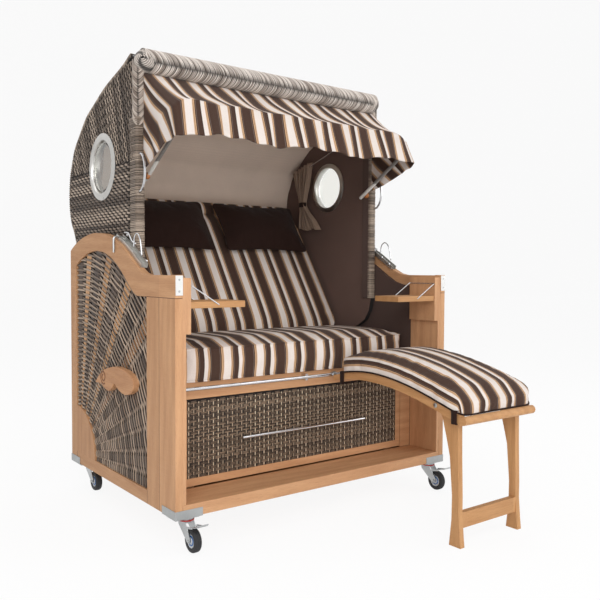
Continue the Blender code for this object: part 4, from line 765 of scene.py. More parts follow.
LOOKS = {
    "teak_x": (wood, "X"),
    "teak_front": (wood, "X"),
    "teak_frame": (frame_wood,),
    "teak_leaf": (wood, "X", (198, 150, 102), (166, 118, 76)),
    "teak_rest": (wood, "Y", REST_LIGHT, REST_DARK),
    "teak_carved": (wood, "Y", (208, 158, 116), (166, 116, 80)),
    # Dark wood for the carved curl: painted shade of its groove.
    "teak_scroll": (wood, "Y", (140, 96, 64), (104, 70, 46)),
    # The drawer's field behind its weave is painted shade.
    "teak_drawer": (parted, behind_weave, marked(GAP_SHADE), grained("X"), {"Specular IOR Level": 0.35}),
    "teak_legs": (parted, between_legs, grained("X", REST_LIGHT, REST_DARK), grained("Z", REST_LIGHT, REST_DARK),
                  {"Specular IOR Level": 0.35}),
    "strand_brown": (strand, (186, 168, 151), (66, 55, 48), (190, 154, 118), 0.24),
    "strand_side": (strand, (186, 164, 144), (62, 50, 43), (196, 150, 108), 0.45),
    "strand_drawer": (strand, (136, 114, 94), (50, 38, 30), (146, 114, 84), 0.25),
    "stake_pale": (strand, (206, 186, 160), (136, 116, 96), (206, 174, 138), 0.20),
    "stake_tan": (strand, (214, 164, 118), (150, 106, 72), (236, 190, 142), 0.6),
    # Stakes in the weave's holes: dark as painted shade.
    "stake_dark": (strand, (96, 82, 74), (40, 34, 32), (150, 118, 90), 0.15),
    "plait_grey": (strand, (234, 224, 215), (136, 122, 112), (216, 196, 176), 0.15),
    "plait_brown": (strand, (208, 194, 182), (112, 98, 88), (200, 176, 152), 0.20),
    # Painted shade for the gaps in the weaves and the plait.
    "backing": (dull, GAP_SHADE, (24, 20, 19), (0.85, 0.95)),
    "stripes_seat": (cloth_look, across_x(-0.531)),
    "stripes_back": (cloth_look, across_x(-0.518)),
    "stripes_rest": (cloth_look, across_cloth(-0.3105)),
    "stripes_canvas": (cloth_look, across_cloth(0.0)),
    "cloth_dark": (cloth_look, (48, 34, 30), 0.04),
    "cloth_curtain": (cloth_look, (148, 126, 110), 0.10),
    "cloth_lining": (cloth_look, (84, 66, 60), 0.2),
    "lining_inner": (parted, within_cheek, grained("Z"), threaded((84, 66, 60))),
    # A hood side's outer face, behind its weave, is painted shade.
    "lining_side": (parted, within_hood, threaded((106, 84, 76)), marked(GAP_SHADE)),
    # The roof's inner face: pale lining whose colour is raised past the cloth's own to stand in for light that the
    # lamps don't bring into the hood, so partly painted light; its outer face, behind the weave, is painted shade.
    "lining_roof": (parted, under_roof, threaded((240, 218, 200)), marked(GAP_SHADE)),
    "chrome": (dull, (214, 214, 216), (188, 188, 190), (0.10, 0.26), 0.0001, 1.0),
    "zinc": (dull, (190, 192, 192), (150, 152, 154), (0.28, 0.46), 0.0002, 1.0),
    "zinc_plates": (parted, above_arm, marked((232, 232, 230), 0.35), marked((176, 178, 178), 0.42),
                    {"Metallic": 0.6}),
    "aluminium": (dull, (206, 204, 200), (184, 182, 178), (0.28, 0.40), 0.00004, 1.0),
    "plate_white": (dull, (232, 232, 230), (206, 206, 204), (0.25, 0.4), 0.0001, 0.4),
    "plate_hub": (dull, (206, 210, 214), (178, 184, 190), (0.3, 0.45), 0.0001),
    "grey_bow": (parted, under_knob, marked((214, 210, 204), 0.4), marked((122, 118, 114), 0.42)),
    "rubber": (dull, (40, 40, 42), (28, 28, 30), (0.6, 0.78), 0.0004),
    "rubber_blue": (dull, (52, 104, 168), (40, 84, 140), (0.35, 0.5), 0.0001),
    "rubber_red": (dull, (190, 44, 36), (150, 34, 28), (0.35, 0.5), 0.0001),
    "knob_brown": (dull, (186, 118, 66), (150, 92, 50), (0.3, 0.45), 0.0001),
    "glass_pane": (clear,),
}


@cache
def look(name):
    """Material by name, made when first asked for."""
    maker, *values = LOOKS[name]
    return maker(name, *values)


# Woven surfaces

STRAND_EDGE = np.array([(-1.0, 0.0), (-0.55, 0.8), (0.55, 0.8), (1.0, 0.0)])
STRAND_THICK, STRAND_LIFT, STRAND_SHARE = 0.0014, 0.0021, 0.80
STAKE_THICK, STAKE_LIFT, STAKE_SHARE = 0.0011, -0.0002, 0.26
ROWS_SWAY = 0.13


def strands(name, centre, side, normal, width, thickness, wave, body, finish, tone, deep=1.0):
    """Flat strands on a surface: the centre lines plus a low arch across each, lifted by a wave along it.

    centre, side and normal are strand x step x 3 with unit side and normal; wave is strand x step, and
    where it is low the strand counts as deep, by the share deep, and its finish paints shade there.
    """
    reach = side[:, :, None] * (width / 2 * STRAND_EDGE[:, 0])[None, None, :, None]
    lift = (wave[:, :, None] + thickness * STRAND_EDGE[:, 1])[..., None]
    grid = centre[:, :, None] + reach + normal[:, :, None] * lift
    uv = np.empty(grid.shape[:3] + (2,))
    uv[..., 0] = lengths(centre)[:, :, None]
    uv[..., 1] = STRAND_EDGE[:, 0] + 3.0 * np.arange(len(centre))[:, None, None]
    tones = np.broadcast_to(np.asarray(tone)[:, None, None], grid.shape[:3])
    # How deep each point lies, which the strand finish turns into painted shade.
    low = np.broadcast_to((deep * (wave.max() - wave) / max(np.ptp(wave), 1e-3))[:, :, None], grid.shape[:3])
    ahead = centre[:, 1] - centre[:, 0]
    turned_over = np.sum(np.cross(ahead[0], side[0, 0]) * normal[0, 0]) < 0
    return surface(name, grid, body, finish, uv=uv, tone=tones, low=low, flip=bool(turned_over))


def stakes(name, centre, side, normal, spacing, body, finish, seed):
    """Flat stakes just under a surface, one along each centre line, a share of their spacing wide."""
    strands(name, centre, side, normal, spacing * STAKE_SHARE, STAKE_THICK, np.full(centre.shape[:2], STAKE_LIFT), body,
            finish, tones_for(len(centre), seed))


def weave_phase(across, stake, row):
    """Angle of a row's wave: half a turn for each stake, with the rows taking turns and a slow drift."""
    return math.pi * (across / stake + row + 0.12 * np.sin(across * 9 + row * 0.7))


def tones_for(count, seed):
    """Repeatable shades, one for each strand."""
    return np.random.default_rng(seed).uniform(0.0, 1.0, count)


def rows_in(outline, holes, levels, margin):
    """Level runs across an outline, cut round its holes: for each level the lowest and highest place inside.

    holes are circles (y, z, radius); a run that meets one is two runs, on either side of it.
    """
    low, high = outline[:, 0].min(), outline[:, 0].max()
    ys = np.linspace(low, high, 500)
    runs = []
    for level in levels:
        held = ys[inside(np.stack([ys, np.full_like(ys, level)], axis=1), outline)]
        if len(held) < 6:
            continue
        ends = [(held[0] + margin, held[-1] - margin)]
        for y, z, radius in holes:
            if abs(level - z) < radius:
                half = math.sqrt(radius ** 2 - (level - z) ** 2)
                ends = [(ends[0][0], y - half), (y + half, ends[-1][1])]
        runs += [(level, a, b) for a, b in ends if b - a > 0.02]
    return np.array(runs)


def flat_weave(name, outline, plane, pitch, stake, body, finish, stake_finish, holes=(), columns=96, seed=1,
               lift=STRAND_LIFT, margin=0.002, pair=1, turn=0.0):
    """Plain weave on a plane: rows of strands go over and under stakes that cross them.

    The height of a row is a cosine of its place over the stakes' spacing and its sway a sine of it; rows
    take turns, so gaps open between them.  plane turns (across, height, out) into points, and turn is the
    angle of the rows.
    """
    c, s = math.cos(turn), math.sin(turn)
    outline = np.stack([outline[:, 0] * c + outline[:, 1] * s, outline[:, 1] * c - outline[:, 0] * s], axis=1)
    holes = [(y * c + z * s, z * c - y * s, radius) for y, z, radius in holes]

    def laid(a, h, out):
        return plane(a * c - h * s, a * s + h * c, out)

    rng = np.random.default_rng(seed)
    low, high = outline[:, 1].min() + pitch / 2, outline[:, 1].max() - pitch / 2
    levels = np.arange(low, high, pitch)
    levels = (levels[:, None] + pitch * (np.arange(pair) - (pair - 1) / 2) / pair).ravel()
    runs = rows_in(outline, holes, levels, margin)
    row = np.floor((runs[:, 0] - low) / pitch + 0.5)[:, None]
    across = runs[:, 1, None] + (runs[:, 2] - runs[:, 1])[:, None] * np.linspace(0, 1, columns)
    phase = weave_phase(across, stake, row)
    slow = np.sin(across * 31 + runs[:, 0, None] * 90) * pitch * 0.06
    sway = pitch * (ROWS_SWAY if pair == 1 else 0.03)
    level = runs[:, 0, None] + rng.normal(0, sway * 0.4, (len(runs), 1)) + sway * np.sin(phase) + slow / pair
    centre = laid(across, level, np.zeros_like(across))
    side = laid(across, level + 1.0, np.zeros_like(across)) - centre
    normal = laid(across, level, np.ones_like(across)) - centre
    width = pitch / pair * (STRAND_SHARE if pair == 1 else 0.86)
    strands(name + "_strands", centre, side, normal, width, STRAND_THICK,
            lift * np.clip(1.5 * np.cos(phase) + 0.15, -1, 1), body, finish, tones_for(len(runs), seed))
    places = np.arange(math.ceil((outline[:, 0].min() + 0.002) / stake) * stake, outline[:, 0].max() - 0.002, stake)
    turned = rows_in(outline[:, ::-1], [(z, y, radius) for y, z, radius in holes], places, margin)
    up = turned[:, 1, None] + (turned[:, 2] - turned[:, 1])[:, None] * np.linspace(0, 1, 24)
    at = np.broadcast_to(turned[:, 0, None], up.shape)
    zero = np.zeros_like(up)
    centre = laid(at, up, zero)
    side, normal = laid(at + 1.0, up, zero) - centre, laid(at, up, zero + 1.0) - centre
    stakes(name + "_stakes", centre, side, normal, stake, body, stake_finish, seed + 5)


def side_pitch(radius):
    """Spacing of the sunburst's arcs, wider further out."""
    return np.interp(radius, (0.20, 0.50, 0.80), (0.0080, 0.0090, 0.0100))


# Outlines repeated from the model's source, in the base's own frame

HOOD_HALF = 0.559
HOOD_INSIDE = 0.535
HOOD_FRONT = 0.365
RIM_BACK = 0.415
RIM_FOOT = 0.646
ROLL = (0.371, 1.4825)
ROLL_RADIUS = 0.0375
CAP = 0.5215
RIM_WIDTH = 0.032
PORT = (0.665, 1.150)
HOOD_SHARES = np.array([
    (0.069, 0.997), (0.175, 0.970), (0.317, 0.945), (0.434, 0.922), (0.574, 0.883), (0.703, 0.845),
    (0.820, 0.783), (0.902, 0.735), (0.955, 0.673), (0.988, 0.624), (1.000, 0.554), (0.992, 0.494),
    (0.962, 0.440), (0.915, 0.398), (0.878, 0.350), (0.860, 0.300), (0.855, 0.220), (0.854, 0.000)])
HOOD_LINE = through(HOOD_SHARES * (0.650, 0.991) + (HOOD_FRONT, 0.520), 4)
FAN = (0.838, 0.045)
FAN_RADIUS = 0.185
WEAVE_FACE = 0.5918


def opening_line():
    """Opening of a side frame, closed round the carved corner at its lower rear."""
    crest, arm_z, rear = (0.625, 0.835), 0.679, 0.838
    rise, fall = crest[0] - 0.270, rear - crest[0]
    first = bezier((0.270, arm_z), (0.270 + rise * 0.17, arm_z), (crest[0] - rise * 0.56, crest[1]), crest, 14)
    last = bezier(crest, (crest[0] + fall * 0.47, crest[1]), (rear - fall * 0.23, 0.780 + 0.055 * 0.45),
                  (rear, 0.780), 14)
    turn = np.linspace(math.pi / 2, math.pi, 24)
    fan = np.stack([FAN[0] + FAN_RADIUS * np.cos(turn), FAN[1] + FAN_RADIUS * np.sin(turn)], axis=1)
    return np.vstack([[(0.200, 0.045), (0.200, arm_z)], first, last[1:], fan])


OPENING = opening_line()


# Shapes of the woven pieces

def runs_of(held):
    """First and last index of each unbroken run of true values."""
    padded = np.concatenate([[False], held, [False]]).astype(int)
    change = np.diff(padded)
    return list(zip(np.flatnonzero(change == 1), np.flatnonzero(change == -1) - 1))


def sunburst(label, side, spoke, columns=120):
    """Side panel woven as a sunburst about the carved corner.

    Arcs of growing radius are clipped to the opening; each goes over and under the spokes by a cosine of
    the angle over their spacing, and the next arc takes the other turn.  Angles start upright and go
    to the front.
    """
    first = math.radians(2.25)
    lift = 0.0030

    def point(radius, angle, out):
        return spots(side * (WEAVE_FACE + out), FAN[0] - radius * np.sin(angle), FAN[1] + radius * np.cos(angle))

    turn = np.radians(np.linspace(-1, 97, 900))
    radii = [FAN_RADIUS + 0.005]
    while radii[-1] < 0.93:
        radii.append(radii[-1] + float(side_pitch(radii[-1])))
    found = []
    for k, radius in enumerate(radii):
        where = np.stack([FAN[0] - radius * np.sin(turn), FAN[1] + radius * np.cos(turn)], axis=1)
        for a, b in runs_of(inside(where, OPENING)):
            if (turn[b] - turn[a]) * radius > 0.015:
                found.append((k, radius, turn[a] + 0.001 / radius, turn[b] - 0.001 / radius))
    found = np.array(found)
    angle = found[:, 2, None] + (found[:, 3] - found[:, 2])[:, None] * np.linspace(0, 1, columns)
    pitch = side_pitch(found[:, 1])[:, None]
    phase = math.pi * ((angle - first) / spoke + found[:, 0, None])
    rng = np.random.default_rng(3 + side)
    shaken = rng.normal(0, 0.05, (len(found), 1)) + 0.12 * np.sin(phase)
    shaken = shaken + 0.06 * np.sin(angle * 37 + found[:, 1, None] * 80)
    radius = found[:, 1, None] + pitch * shaken
    wave = lift * np.clip(1.35 * np.cos(phase), -1, 1)
    zero = np.zeros_like(angle)
    centre = point(radius, angle, zero)
    outward = point(radius + 1.0, angle, zero) - centre
    normal = point(radius, angle, zero + 1.0) - centre
    strands(f"side_strands_{label}", centre, outward, normal, 0.0078, 0.0024, wave, "base", "strand_side",
            tones_for(len(found), 11 + side), deep=0.86)

    angles = np.arange(first, math.radians(95), spoke)
    reach = np.arange(FAN_RADIUS - 0.002, 0.95, 0.004)
    # Spokes that read as shadow gaps get the dark finish, which is painted shade; the rest are tan.
    for finish, kept in (("stake_tan", lambda k, a: k % 2 == 1 and a < math.radians(58)),
                         ("stake_dark", lambda k, a: not (k % 2 == 1 and a < math.radians(58)))):
        staves = []
        for k, a in enumerate(angles):
            where = np.stack([FAN[0] - reach * np.sin(a), FAN[1] + reach * np.cos(a)], axis=1)
            held = runs_of(inside(where, OPENING))
            if kept(k, a) and held:
                staves.append((a, reach[held[0][0]] - 0.002, reach[held[-1][1]] + 0.001))
        staves = np.array(staves)
        far = staves[:, 1, None] + (staves[:, 2] - staves[:, 1])[:, None] * np.linspace(0, 1, 20)
        at = np.broadcast_to(staves[:, 0, None], far.shape)
        half = math.radians(1.75)
        rows = np.stack([point(far, at + half * e, np.full_like(far, -0.0001 + 0.0008 * h)) for e, h in STRAND_EDGE],
                        axis=2)
        uv = np.stack([np.broadcast_to(far[..., None], rows.shape[:3]),
                       np.broadcast_to(0.5 * STRAND_EDGE[:, 0], rows.shape[:3])], axis=-1)
        tone = np.broadcast_to(tones_for(len(staves), 5 + side)[:, None, None], rows.shape[:3])
        surface(f"side_{finish}_{label}", rows, "base", finish, uv=uv, tone=tone, low=np.zeros(rows.shape[:3]),
                flip=side < 0)


def hood_side_outlines():
    """Woven parts of a hood side, inside the roof's edge strands: below and above the porthole's middle."""
    line = shifted(HOOD_LINE, -0.010)
    parts = []
    for low, high, front in ((0.70, PORT[1], RIM_BACK), (PORT[1] - 0.007, 1.492, RIM_BACK - 0.030)):
        held = line[(line[:, 1] > low) & (line[:, 1] < high) & (line[:, 0] > front)]
        parts.append(np.vstack([[(front, held[0, 1])], held, [(held[-1, 0], low), (front, low)]]))
    return parts


def upright(x):
    """Plane of a side at X: (depth, height, outward) to points."""
    def plane(y, z, out):
        return spots(np.sign(x) * (abs(x) + out), y, z)
    return plane


def facing_y(y, way):
    """Plane across the chair at a depth: (x, height, outward) to points; way is the sign of outward."""
    def plane(x, z, out):
        return spots(x, y + way * out, z)
    return plane


def roof_weave(pitch, stake, columns=150):
    """Roof and back of the hood: strands along X at even steps of the roof line, over and under stakes.

    Each strand bends round the roof's edge by a quarter circle and ends on the side.
    """
    line, length = resampled(HOOD_LINE, 400)
    count = int(length / pitch)
    bend = 0.004
    across = np.linspace(-HOOD_HALF + bend, HOOD_HALF - bend, columns)
    past = np.maximum(np.abs(across) - (HOOD_HALF - bend), 0)
    angle = np.minimum(past / bend, math.pi / 2)
    x = np.sign(across) * (np.minimum(np.abs(across), HOOD_HALF - bend) + bend * np.sin(angle))
    drop = bend * (1 - np.cos(angle)) + np.maximum(past - bend * math.pi / 2, 0)
    mid, _ = resampled(line, count)
    step, out = steps_of(mid)
    row = np.arange(count)[:, None]
    phase = weave_phase(across, stake, row)
    rng = np.random.default_rng(19)
    sway = pitch * (ROWS_SWAY * np.sin(phase) + rng.normal(0, 0.05, (count, 1)))
    zero = np.zeros((count, columns))
    centre = spots(x, *(mid[:, k, None] + step[:, k, None] * sway - out[:, k, None] * drop for k in (0, 1)))
    side = np.stack([zero, zero + step[:, 0, None], zero + step[:, 1, None]], axis=-1)
    normal = np.stack([zero + np.sign(across) * np.sin(angle), out[:, 0, None] * np.cos(angle),
                       out[:, 1, None] * np.cos(angle)], axis=-1)
    strands("roof_strands", centre, side, normal, pitch * STRAND_SHARE, STRAND_THICK, STRAND_LIFT * np.cos(phase),
            "hood", "strand_brown", tones_for(count, 21))
    places = np.arange(-math.floor(HOOD_HALF / stake), math.floor(HOOD_HALF / stake) + 1) * stake
    mid, _ = resampled(line, 90)
    _, out = steps_of(mid)
    centre = spots(places[:, None], mid[:, 0], mid[:, 1])
    side = np.broadcast_to(np.array((1.0, 0, 0)), centre.shape)
    normal = np.broadcast_to(np.stack([np.zeros(90), out[:, 0], out[:, 1]], axis=-1), centre.shape)
    # The roof's stakes take the dark finish: painted shade in the weave's holes.
    stakes("roof_stakes", centre, side, normal, stake, "hood", "stake_dark", 22)
    # The board's inner face is pale lining lifted by painted light; its outer face is painted shade.
    board = slab("hood_back_board", shifted(HOOD_LINE, -0.0035), shifted(HOOD_LINE, -0.022), HOOD_HALF - 0.0035, "hood",
                 "lining_roof")
    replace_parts(board, "hood_back")
    for label, side in SIDES.items():
        edge_beads(f"roof_edge_{label}", HOOD_LINE, pitch * 0.9, side, 23 + side)


# Plaited rim

def roll_point(x, angle, out):
    """Point of the top roll: X, angle from its front upwards, height over its skin."""
    radius = ROLL_RADIUS + out
    return spots(x, ROLL[0] - radius * np.cos(angle), ROLL[1] + radius * np.sin(angle))


def plait(name, point, along, families, body, width, tone_seed, finish="plait_grey", steps=17):
    """Bundles of thin strands that dive under one another along a row.

    Each family is (start across, end across, lean, strands, spacing); a strand's place across goes evenly
    and its place along by a smooth step times the lean; its height is a sine that ends under the next.
    """
    for part, (start, end, lean, count, spacing) in enumerate(families):
        t = np.linspace(0, 1, steps)
        ease = 0.4 * t + 0.6 * t * t * (3 - 2 * t)
        index = (np.arange(count) - (count - 1) / 2) * spacing
        u = (along[:, None, None] + index[None, :, None] + lean * ease[None, None, :]).reshape(-1, steps)
        v = np.broadcast_to(start + (end - start) * t, u.shape)
        wave = np.broadcast_to(0.0062 * np.sin(math.pi * (0.12 + 0.88 * t)) ** 0.7 - 0.0026, u.shape)
        centre = point(u, v, np.zeros_like(u))
        ahead = unit(np.gradient(centre, axis=1))
        normal = unit(point(u, v, np.ones_like(u)) - centre)
        side = unit(np.cross(normal, ahead))
        strands(f"{name}_{part}", centre, side, normal, width, 0.0024, wave, body, finish,
                tones_for(len(u), tone_seed + part), deep=1.15)


def edge_beads(name, line, pitch, side, tone_seed):
    """Round strands over the roof's edge: each goes from the roof to the side by a quarter circle."""
    mid, _ = resampled(line, int(resampled(line, 400)[1] / pitch))
    step, out = steps_of(mid)
    angle = np.linspace(-0.5, math.pi / 2 + 0.4, 9)
    reach = 0.0075
    x = side * (HOOD_HALF - reach + (reach - 0.0004) * np.sin(np.clip(angle, 0, 9)) + np.minimum(angle, 0) * 0.010)
    rise = (reach + 0.0004) * np.cos(np.clip(angle, 0, 1.6)) - reach - np.maximum(angle - math.pi / 2, 0) * 0.014
    zero = np.zeros((len(mid), len(angle)))
    centre = spots(x, *(mid[:, k, None] + out[:, k, None] * rise for k in (0, 1)))
    turn = np.clip(angle, 0, math.pi / 2)
    normal = np.stack([zero + side * np.sin(turn), *(out[:, k, None] * np.cos(turn) for k in (0, 1))], axis=-1)
    along = np.stack([zero, zero + step[:, 0, None], zero + step[:, 1, None]], axis=-1)
    wave = zero - 0.0012 + 0.0034 * np.sin(math.pi * np.linspace(0, 1, len(angle)))
    strands(name, centre, along, normal, pitch * 0.76, 0.0050, wave, "hood", "strand_brown",
            tones_for(len(mid), tone_seed))


def top_roll():
    """Plait over the top roll: long slanting bundles above, short ones below; a rosette closes each end."""
    along = np.arange(-CAP - 0.070, CAP - 0.008, 0.0205)

    def point(x, angle, out):
        return roll_point(np.clip(x, -CAP - 0.012, CAP + 0.012), angle, out)
    plait("roll_plait", point, along, [(math.radians(170), math.radians(-20), 0.074, 3, 0.0061)], "hood", 0.0051, 31)
    plait("roll_under", point, along[along > -CAP + 0.004] - 0.006,
          [(math.radians(-115), math.radians(-8), 0.026, 3, 0.0061)], "hood", 0.0051, 35)
    for label, side in SIDES.items():
        facing = unit(np.array((side * 0.62, -0.76, 0.16)))
        one = unit(np.cross(facing, (0, 0, 1.0)))
        two = np.cross(one, facing)
        turn = np.linspace(0, 9.5 * 2 * math.pi, 480)
        tilt = 0.10 + turn / turn[-1] * 1.65
        normal = (np.cos(tilt)[:, None] * facing + (np.sin(tilt) * np.cos(turn))[:, None] * one
                  + (np.sin(tilt) * np.sin(turn))[:, None] * two)
        centre = (world([(side * CAP, *ROLL)]) + normal * (ROLL_RADIUS + 0.0004))[None]
        ahead = unit(np.gradient(centre, axis=1))
        strands(f"roll_rosette_{label}", centre, np.cross(normal[None], ahead), normal[None], 0.0052, 0.0026,
                0.0006 * np.sin(turn * 3.1)[None], "hood", "plait_grey", [0.6])


def post_ring(side):
    """Section of a rim post, from the rear of its outer face round the front to the rear of its inner face."""
    outer, inner = HOOD_HALF, HOOD_HALF - RIM_WIDTH
    r = 0.009
    corner_a = np.linspace(0, math.pi / 2, 8)
    first = np.stack([outer - r + r * np.cos(corner_a), HOOD_FRONT + r - r * np.sin(corner_a)], axis=1)
    last = np.stack([inner + r - r * np.sin(corner_a), HOOD_FRONT + r - r * np.cos(corner_a)], axis=1)
    line = np.vstack([[(outer, RIM_BACK)], first, last, [(inner, RIM_BACK)]])
    line, length = resampled(line, 60)
    return line * (side, 1), length


def post_point(side):
    """Point of a rim post: height along it, share round its section from outside to inside, height over it."""
    line, _ = post_ring(side)
    out = steps_of(line)[1] * side
    share = np.linspace(0, 1, len(line))

    def point(z, v, lift):
        x = np.interp(v, share, line[:, 0]) + lift * np.interp(v, share, out[:, 0])
        y = np.interp(v, share, line[:, 1]) + lift * np.interp(v, share, out[:, 1])
        return spots(x, y, z)
    return point


def rim_post(label, side, plait_foot=1.270):
    """Rim post: chevrons above, plain turns below; a collar of tight turns hides where they meet."""
    point = post_point(side)
    along = np.arange(plait_foot + 0.030, ROLL[1] - 0.002, 0.0225)
    plait(f"post_plait_{label}", point, along,
          [(0.20, 0.435, -0.034, 3, 0.0066), (0.70, 0.415, -0.034, 3, 0.0066)], "hood", 0.0056, 41 + side,
          "plait_brown")
    turns = np.arange(RIM_FOOT + 0.004, plait_foot + 0.022, 0.0058)
    v = np.broadcast_to(np.linspace(0.0, 0.70, 26), (len(turns), 26))
    rng = np.random.default_rng(51 + side)
    z = turns[:, None] + rng.normal(0, 0.0005, (len(turns), 1)) + 0.003 * (v - 0.5)
    collar = 0.0030 * np.exp(-((turns - plait_foot - 0.01) / 0.018) ** 2)[:, None]
    out = np.broadcast_to(-0.0006 + 0.0012 * rng.random((len(turns), 1)) + collar, v.shape)
    centre = point(z, v, out)
    normal = unit(point(z, v, out + 1.0) - centre)
    upward = np.broadcast_to(np.array((0.0, 0.0, 1.0)), centre.shape)
    patches = np.repeat(rng.random(len(turns) // 5 + 1), 5)[:len(turns)]
    strands(f"post_turns_{label}", centre, upward, normal, 0.0054, 0.0018, np.zeros(v.shape), "hood",
            "strand_brown", 0.60 * patches + 0.40 * tones_for(len(turns), 53 + side))
    inner = side * (HOOD_HALF - RIM_WIDTH)
    box(f"post_lining_{label}", (inner - side * 0.0008, 0.3715, RIM_FOOT + 0.002),
        (inner + side * 0.004, RIM_BACK + 0.002, 1.452), "hood", "cloth_lining")
    knob = [(0, 0), (0.0105, 0), (0.0120, 0.004), (0.0120, 0.010), (0.0090, 0.0125), (0, 0.0125)]
    lathe(f"awning_knob_{label}", knob, (inner - side * 0.0125, 0.385, 1.0935), "hood", "knob_brown", steps=32)


# Padded pieces

def box_faces(counts):
    """Six grids of the cube from -1 to 1, cells given for X, Y and Z, as one point list and its quads."""
    points, quads, start = [], [], 0
    for axis in range(3):
        one, two = [a for a in range(3) if a != axis]
        grid = np.stack(np.meshgrid(np.linspace(-1, 1, counts[one] + 1), np.linspace(-1, 1, counts[two] + 1),
                                    indexing="ij"), axis=-1)
        for end in (-1.0, 1.0):
            place = np.empty(grid.shape[:2] + (3,))
            place[..., one], place[..., two], place[..., axis] = grid[..., 0], grid[..., 1], end
            index = start + np.arange(place.size // 3).reshape(grid.shape[:2])
            corners = [index[:-1, :-1], index[1:, :-1], index[1:, 1:], index[:-1, 1:]]
            quads.append(np.stack(corners, axis=-1).reshape(-1, 4))
            points.append(place.reshape(-1, 3))
            start += place.size // 3
    return np.concatenate(points), np.concatenate(quads)


def pad_points(unit, size, crown, draw, round_by=10.0, knife=0.0, base=0.15):
    """Unit cube turned into a pad of a size lying on Z 0, its X centred and its Y from 0.

    The plan is a superellipse whose sides draw in between the corners, the upper face crowns by the
    product of 1 less the fourth powers and the lower one by the share base of it; knife closes the
    sides towards the middle height.
    """
    a, b, c = unit.T
    width, length, thickness = size
    far = np.maximum(np.abs(a), np.abs(b))
    safe = np.where(far < 1e-9, 1, far)
    shrink = np.maximum(1.0, (np.abs(a) / safe) ** round_by + (np.abs(b) / safe) ** round_by) ** (1 / round_by)
    a, b = a / shrink, b / shrink
    x = a * (width / 2 - draw * (1 - np.clip(b, -1, 1) ** 2))
    y = length / 2 + b * (length / 2 - draw * (1 - np.clip(a, -1, 1) ** 2))
    fill = (1 - np.clip(np.abs(a), 0, 1) ** 4) * (1 - np.clip(np.abs(b), 0, 1) ** 4)
    half = thickness / 2 - crown * (1 - fill) * np.where(c < 0, base, 1.0)
    half = half * (1 - knife * np.clip(far, 0, 1) ** 6)
    return np.stack([x, y, thickness / 2 + half * c], axis=1)


def pad(name, size, cells, body, finish, lay, crown=0.010, draw=0.006, knife=0.0, pressure=4.0, growth=0.02,
        cap=0.010, fill=0.8, round_by=10.0, base=0.15):
    """Stuffed pad: a closed pad form swells as cloth with its seams held, and lay puts it in its place.

    Its cloth map runs across the upper face and on down the two long sides.
    """
    unit, quads = box_faces(cells)
    unit, back = np.unique(np.round(unit, 6), axis=0, return_inverse=True)
    quads = back.reshape(-1)[quads]
    start = pad_points(unit, size, crown, draw, round_by, knife, base)
    rim = (np.maximum(np.abs(unit[:, 0]), np.abs(unit[:, 1])) > 0.999)
    seam = rim & (np.abs(unit[:, 2]) > 0.999) if knife < 0.5 else rim
    mesh = bpy.data.meshes.new(name)
    mesh.from_pydata(start, [], quads.tolist())
    across = unit[:, 0] * size[0] / 2 + np.sign(unit[:, 0]) * np.abs(unit[:, 0]) ** 12 * (1 - unit[:, 2]) / 2 * size[2]
    layer = mesh.uv_layers.new(name="cloth")
    loops = np.empty(len(mesh.loops), np.int32)
    mesh.loops.foreach_get("vertex_index", loops)
    layer.data.foreach_set("uv", np.stack([across, unit[:, 1]], axis=1)[loops].astype(np.float32).ravel())
    obj = placed(name, mesh, body, finish)
    cleaned(obj, 1e-7)
    moved = swollen(obj, seam, pressure, growth)
    way = moved - start
    far = np.linalg.norm(way, axis=1)
    way *= np.minimum(1.0, cap / np.maximum(far, 1e-9))[:, None]
    start = start + way
    if knife < 0.5:
        start[:, 2] = np.maximum(start[:, 2], 0.0)
    obj.data.vertices.foreach_set("co", lay(start).astype(np.float32).ravel())
    obj.data.update()
    finer = obj.modifiers.new("finer", "SUBSURF")
    finer.levels = finer.render_levels = 1
    return obj


def swollen(obj, held, pressure, growth, last=20):
    """Points of an object after it has swelled as cloth filled with air, its held points kept in place."""
    points = obj.vertex_groups.new(name="seams")
    points.add([int(k) for k in np.flatnonzero(held)], 1.0, "REPLACE")
    cloth = obj.modifiers.new("cloth", "CLOTH")
    rules = cloth.settings
    rules.quality = 6
    rules.use_pressure = True
    rules.uniform_pressure_force = pressure
    rules.vertex_group_mass = points.name
    rules.shrink_min = -growth
    rules.effector_weights.gravity = 0
    rules.bending_stiffness = 0.5
    cloth.point_cache.frame_start = 1
    cloth.point_cache.frame_end = last
    for number in range(1, last + 1):
        bpy.context.scene.frame_set(number)
    shown = obj.evaluated_get(bpy.context.evaluated_depsgraph_get()).data
    moved = coords(shown).astype(float)
    obj.modifiers.remove(cloth)
    obj.vertex_groups.remove(points)
    bpy.context.scene.frame_set(1)
    return moved


def seam_line(size, crown, draw, level, count, outset):
    """Closed line round a pad at one of its faces (level -1 or 1), or at its middle (0)."""
    share = np.linspace(0, 4, count, endpoint=False)
    leg, t = share.astype(int), share % 1 * 2 - 1
    a = np.choose(leg, [t, np.ones_like(t), -t, -np.ones_like(t)])
    b = np.choose(leg, [-np.ones_like(t), t, np.ones_like(t), -t])
    line = pad_points(np.stack([a, b, np.full_like(a, float(level))], axis=1), size, crown, draw)
    middle = np.array((0, size[1] / 2, 0))
    line = line + unit((line - middle) * (1, 1, 0)) * outset
    closed, _ = resampled(np.vstack([line, line[:1]]), count + 1)
    return closed[:-1]


LEAN = math.radians(34)


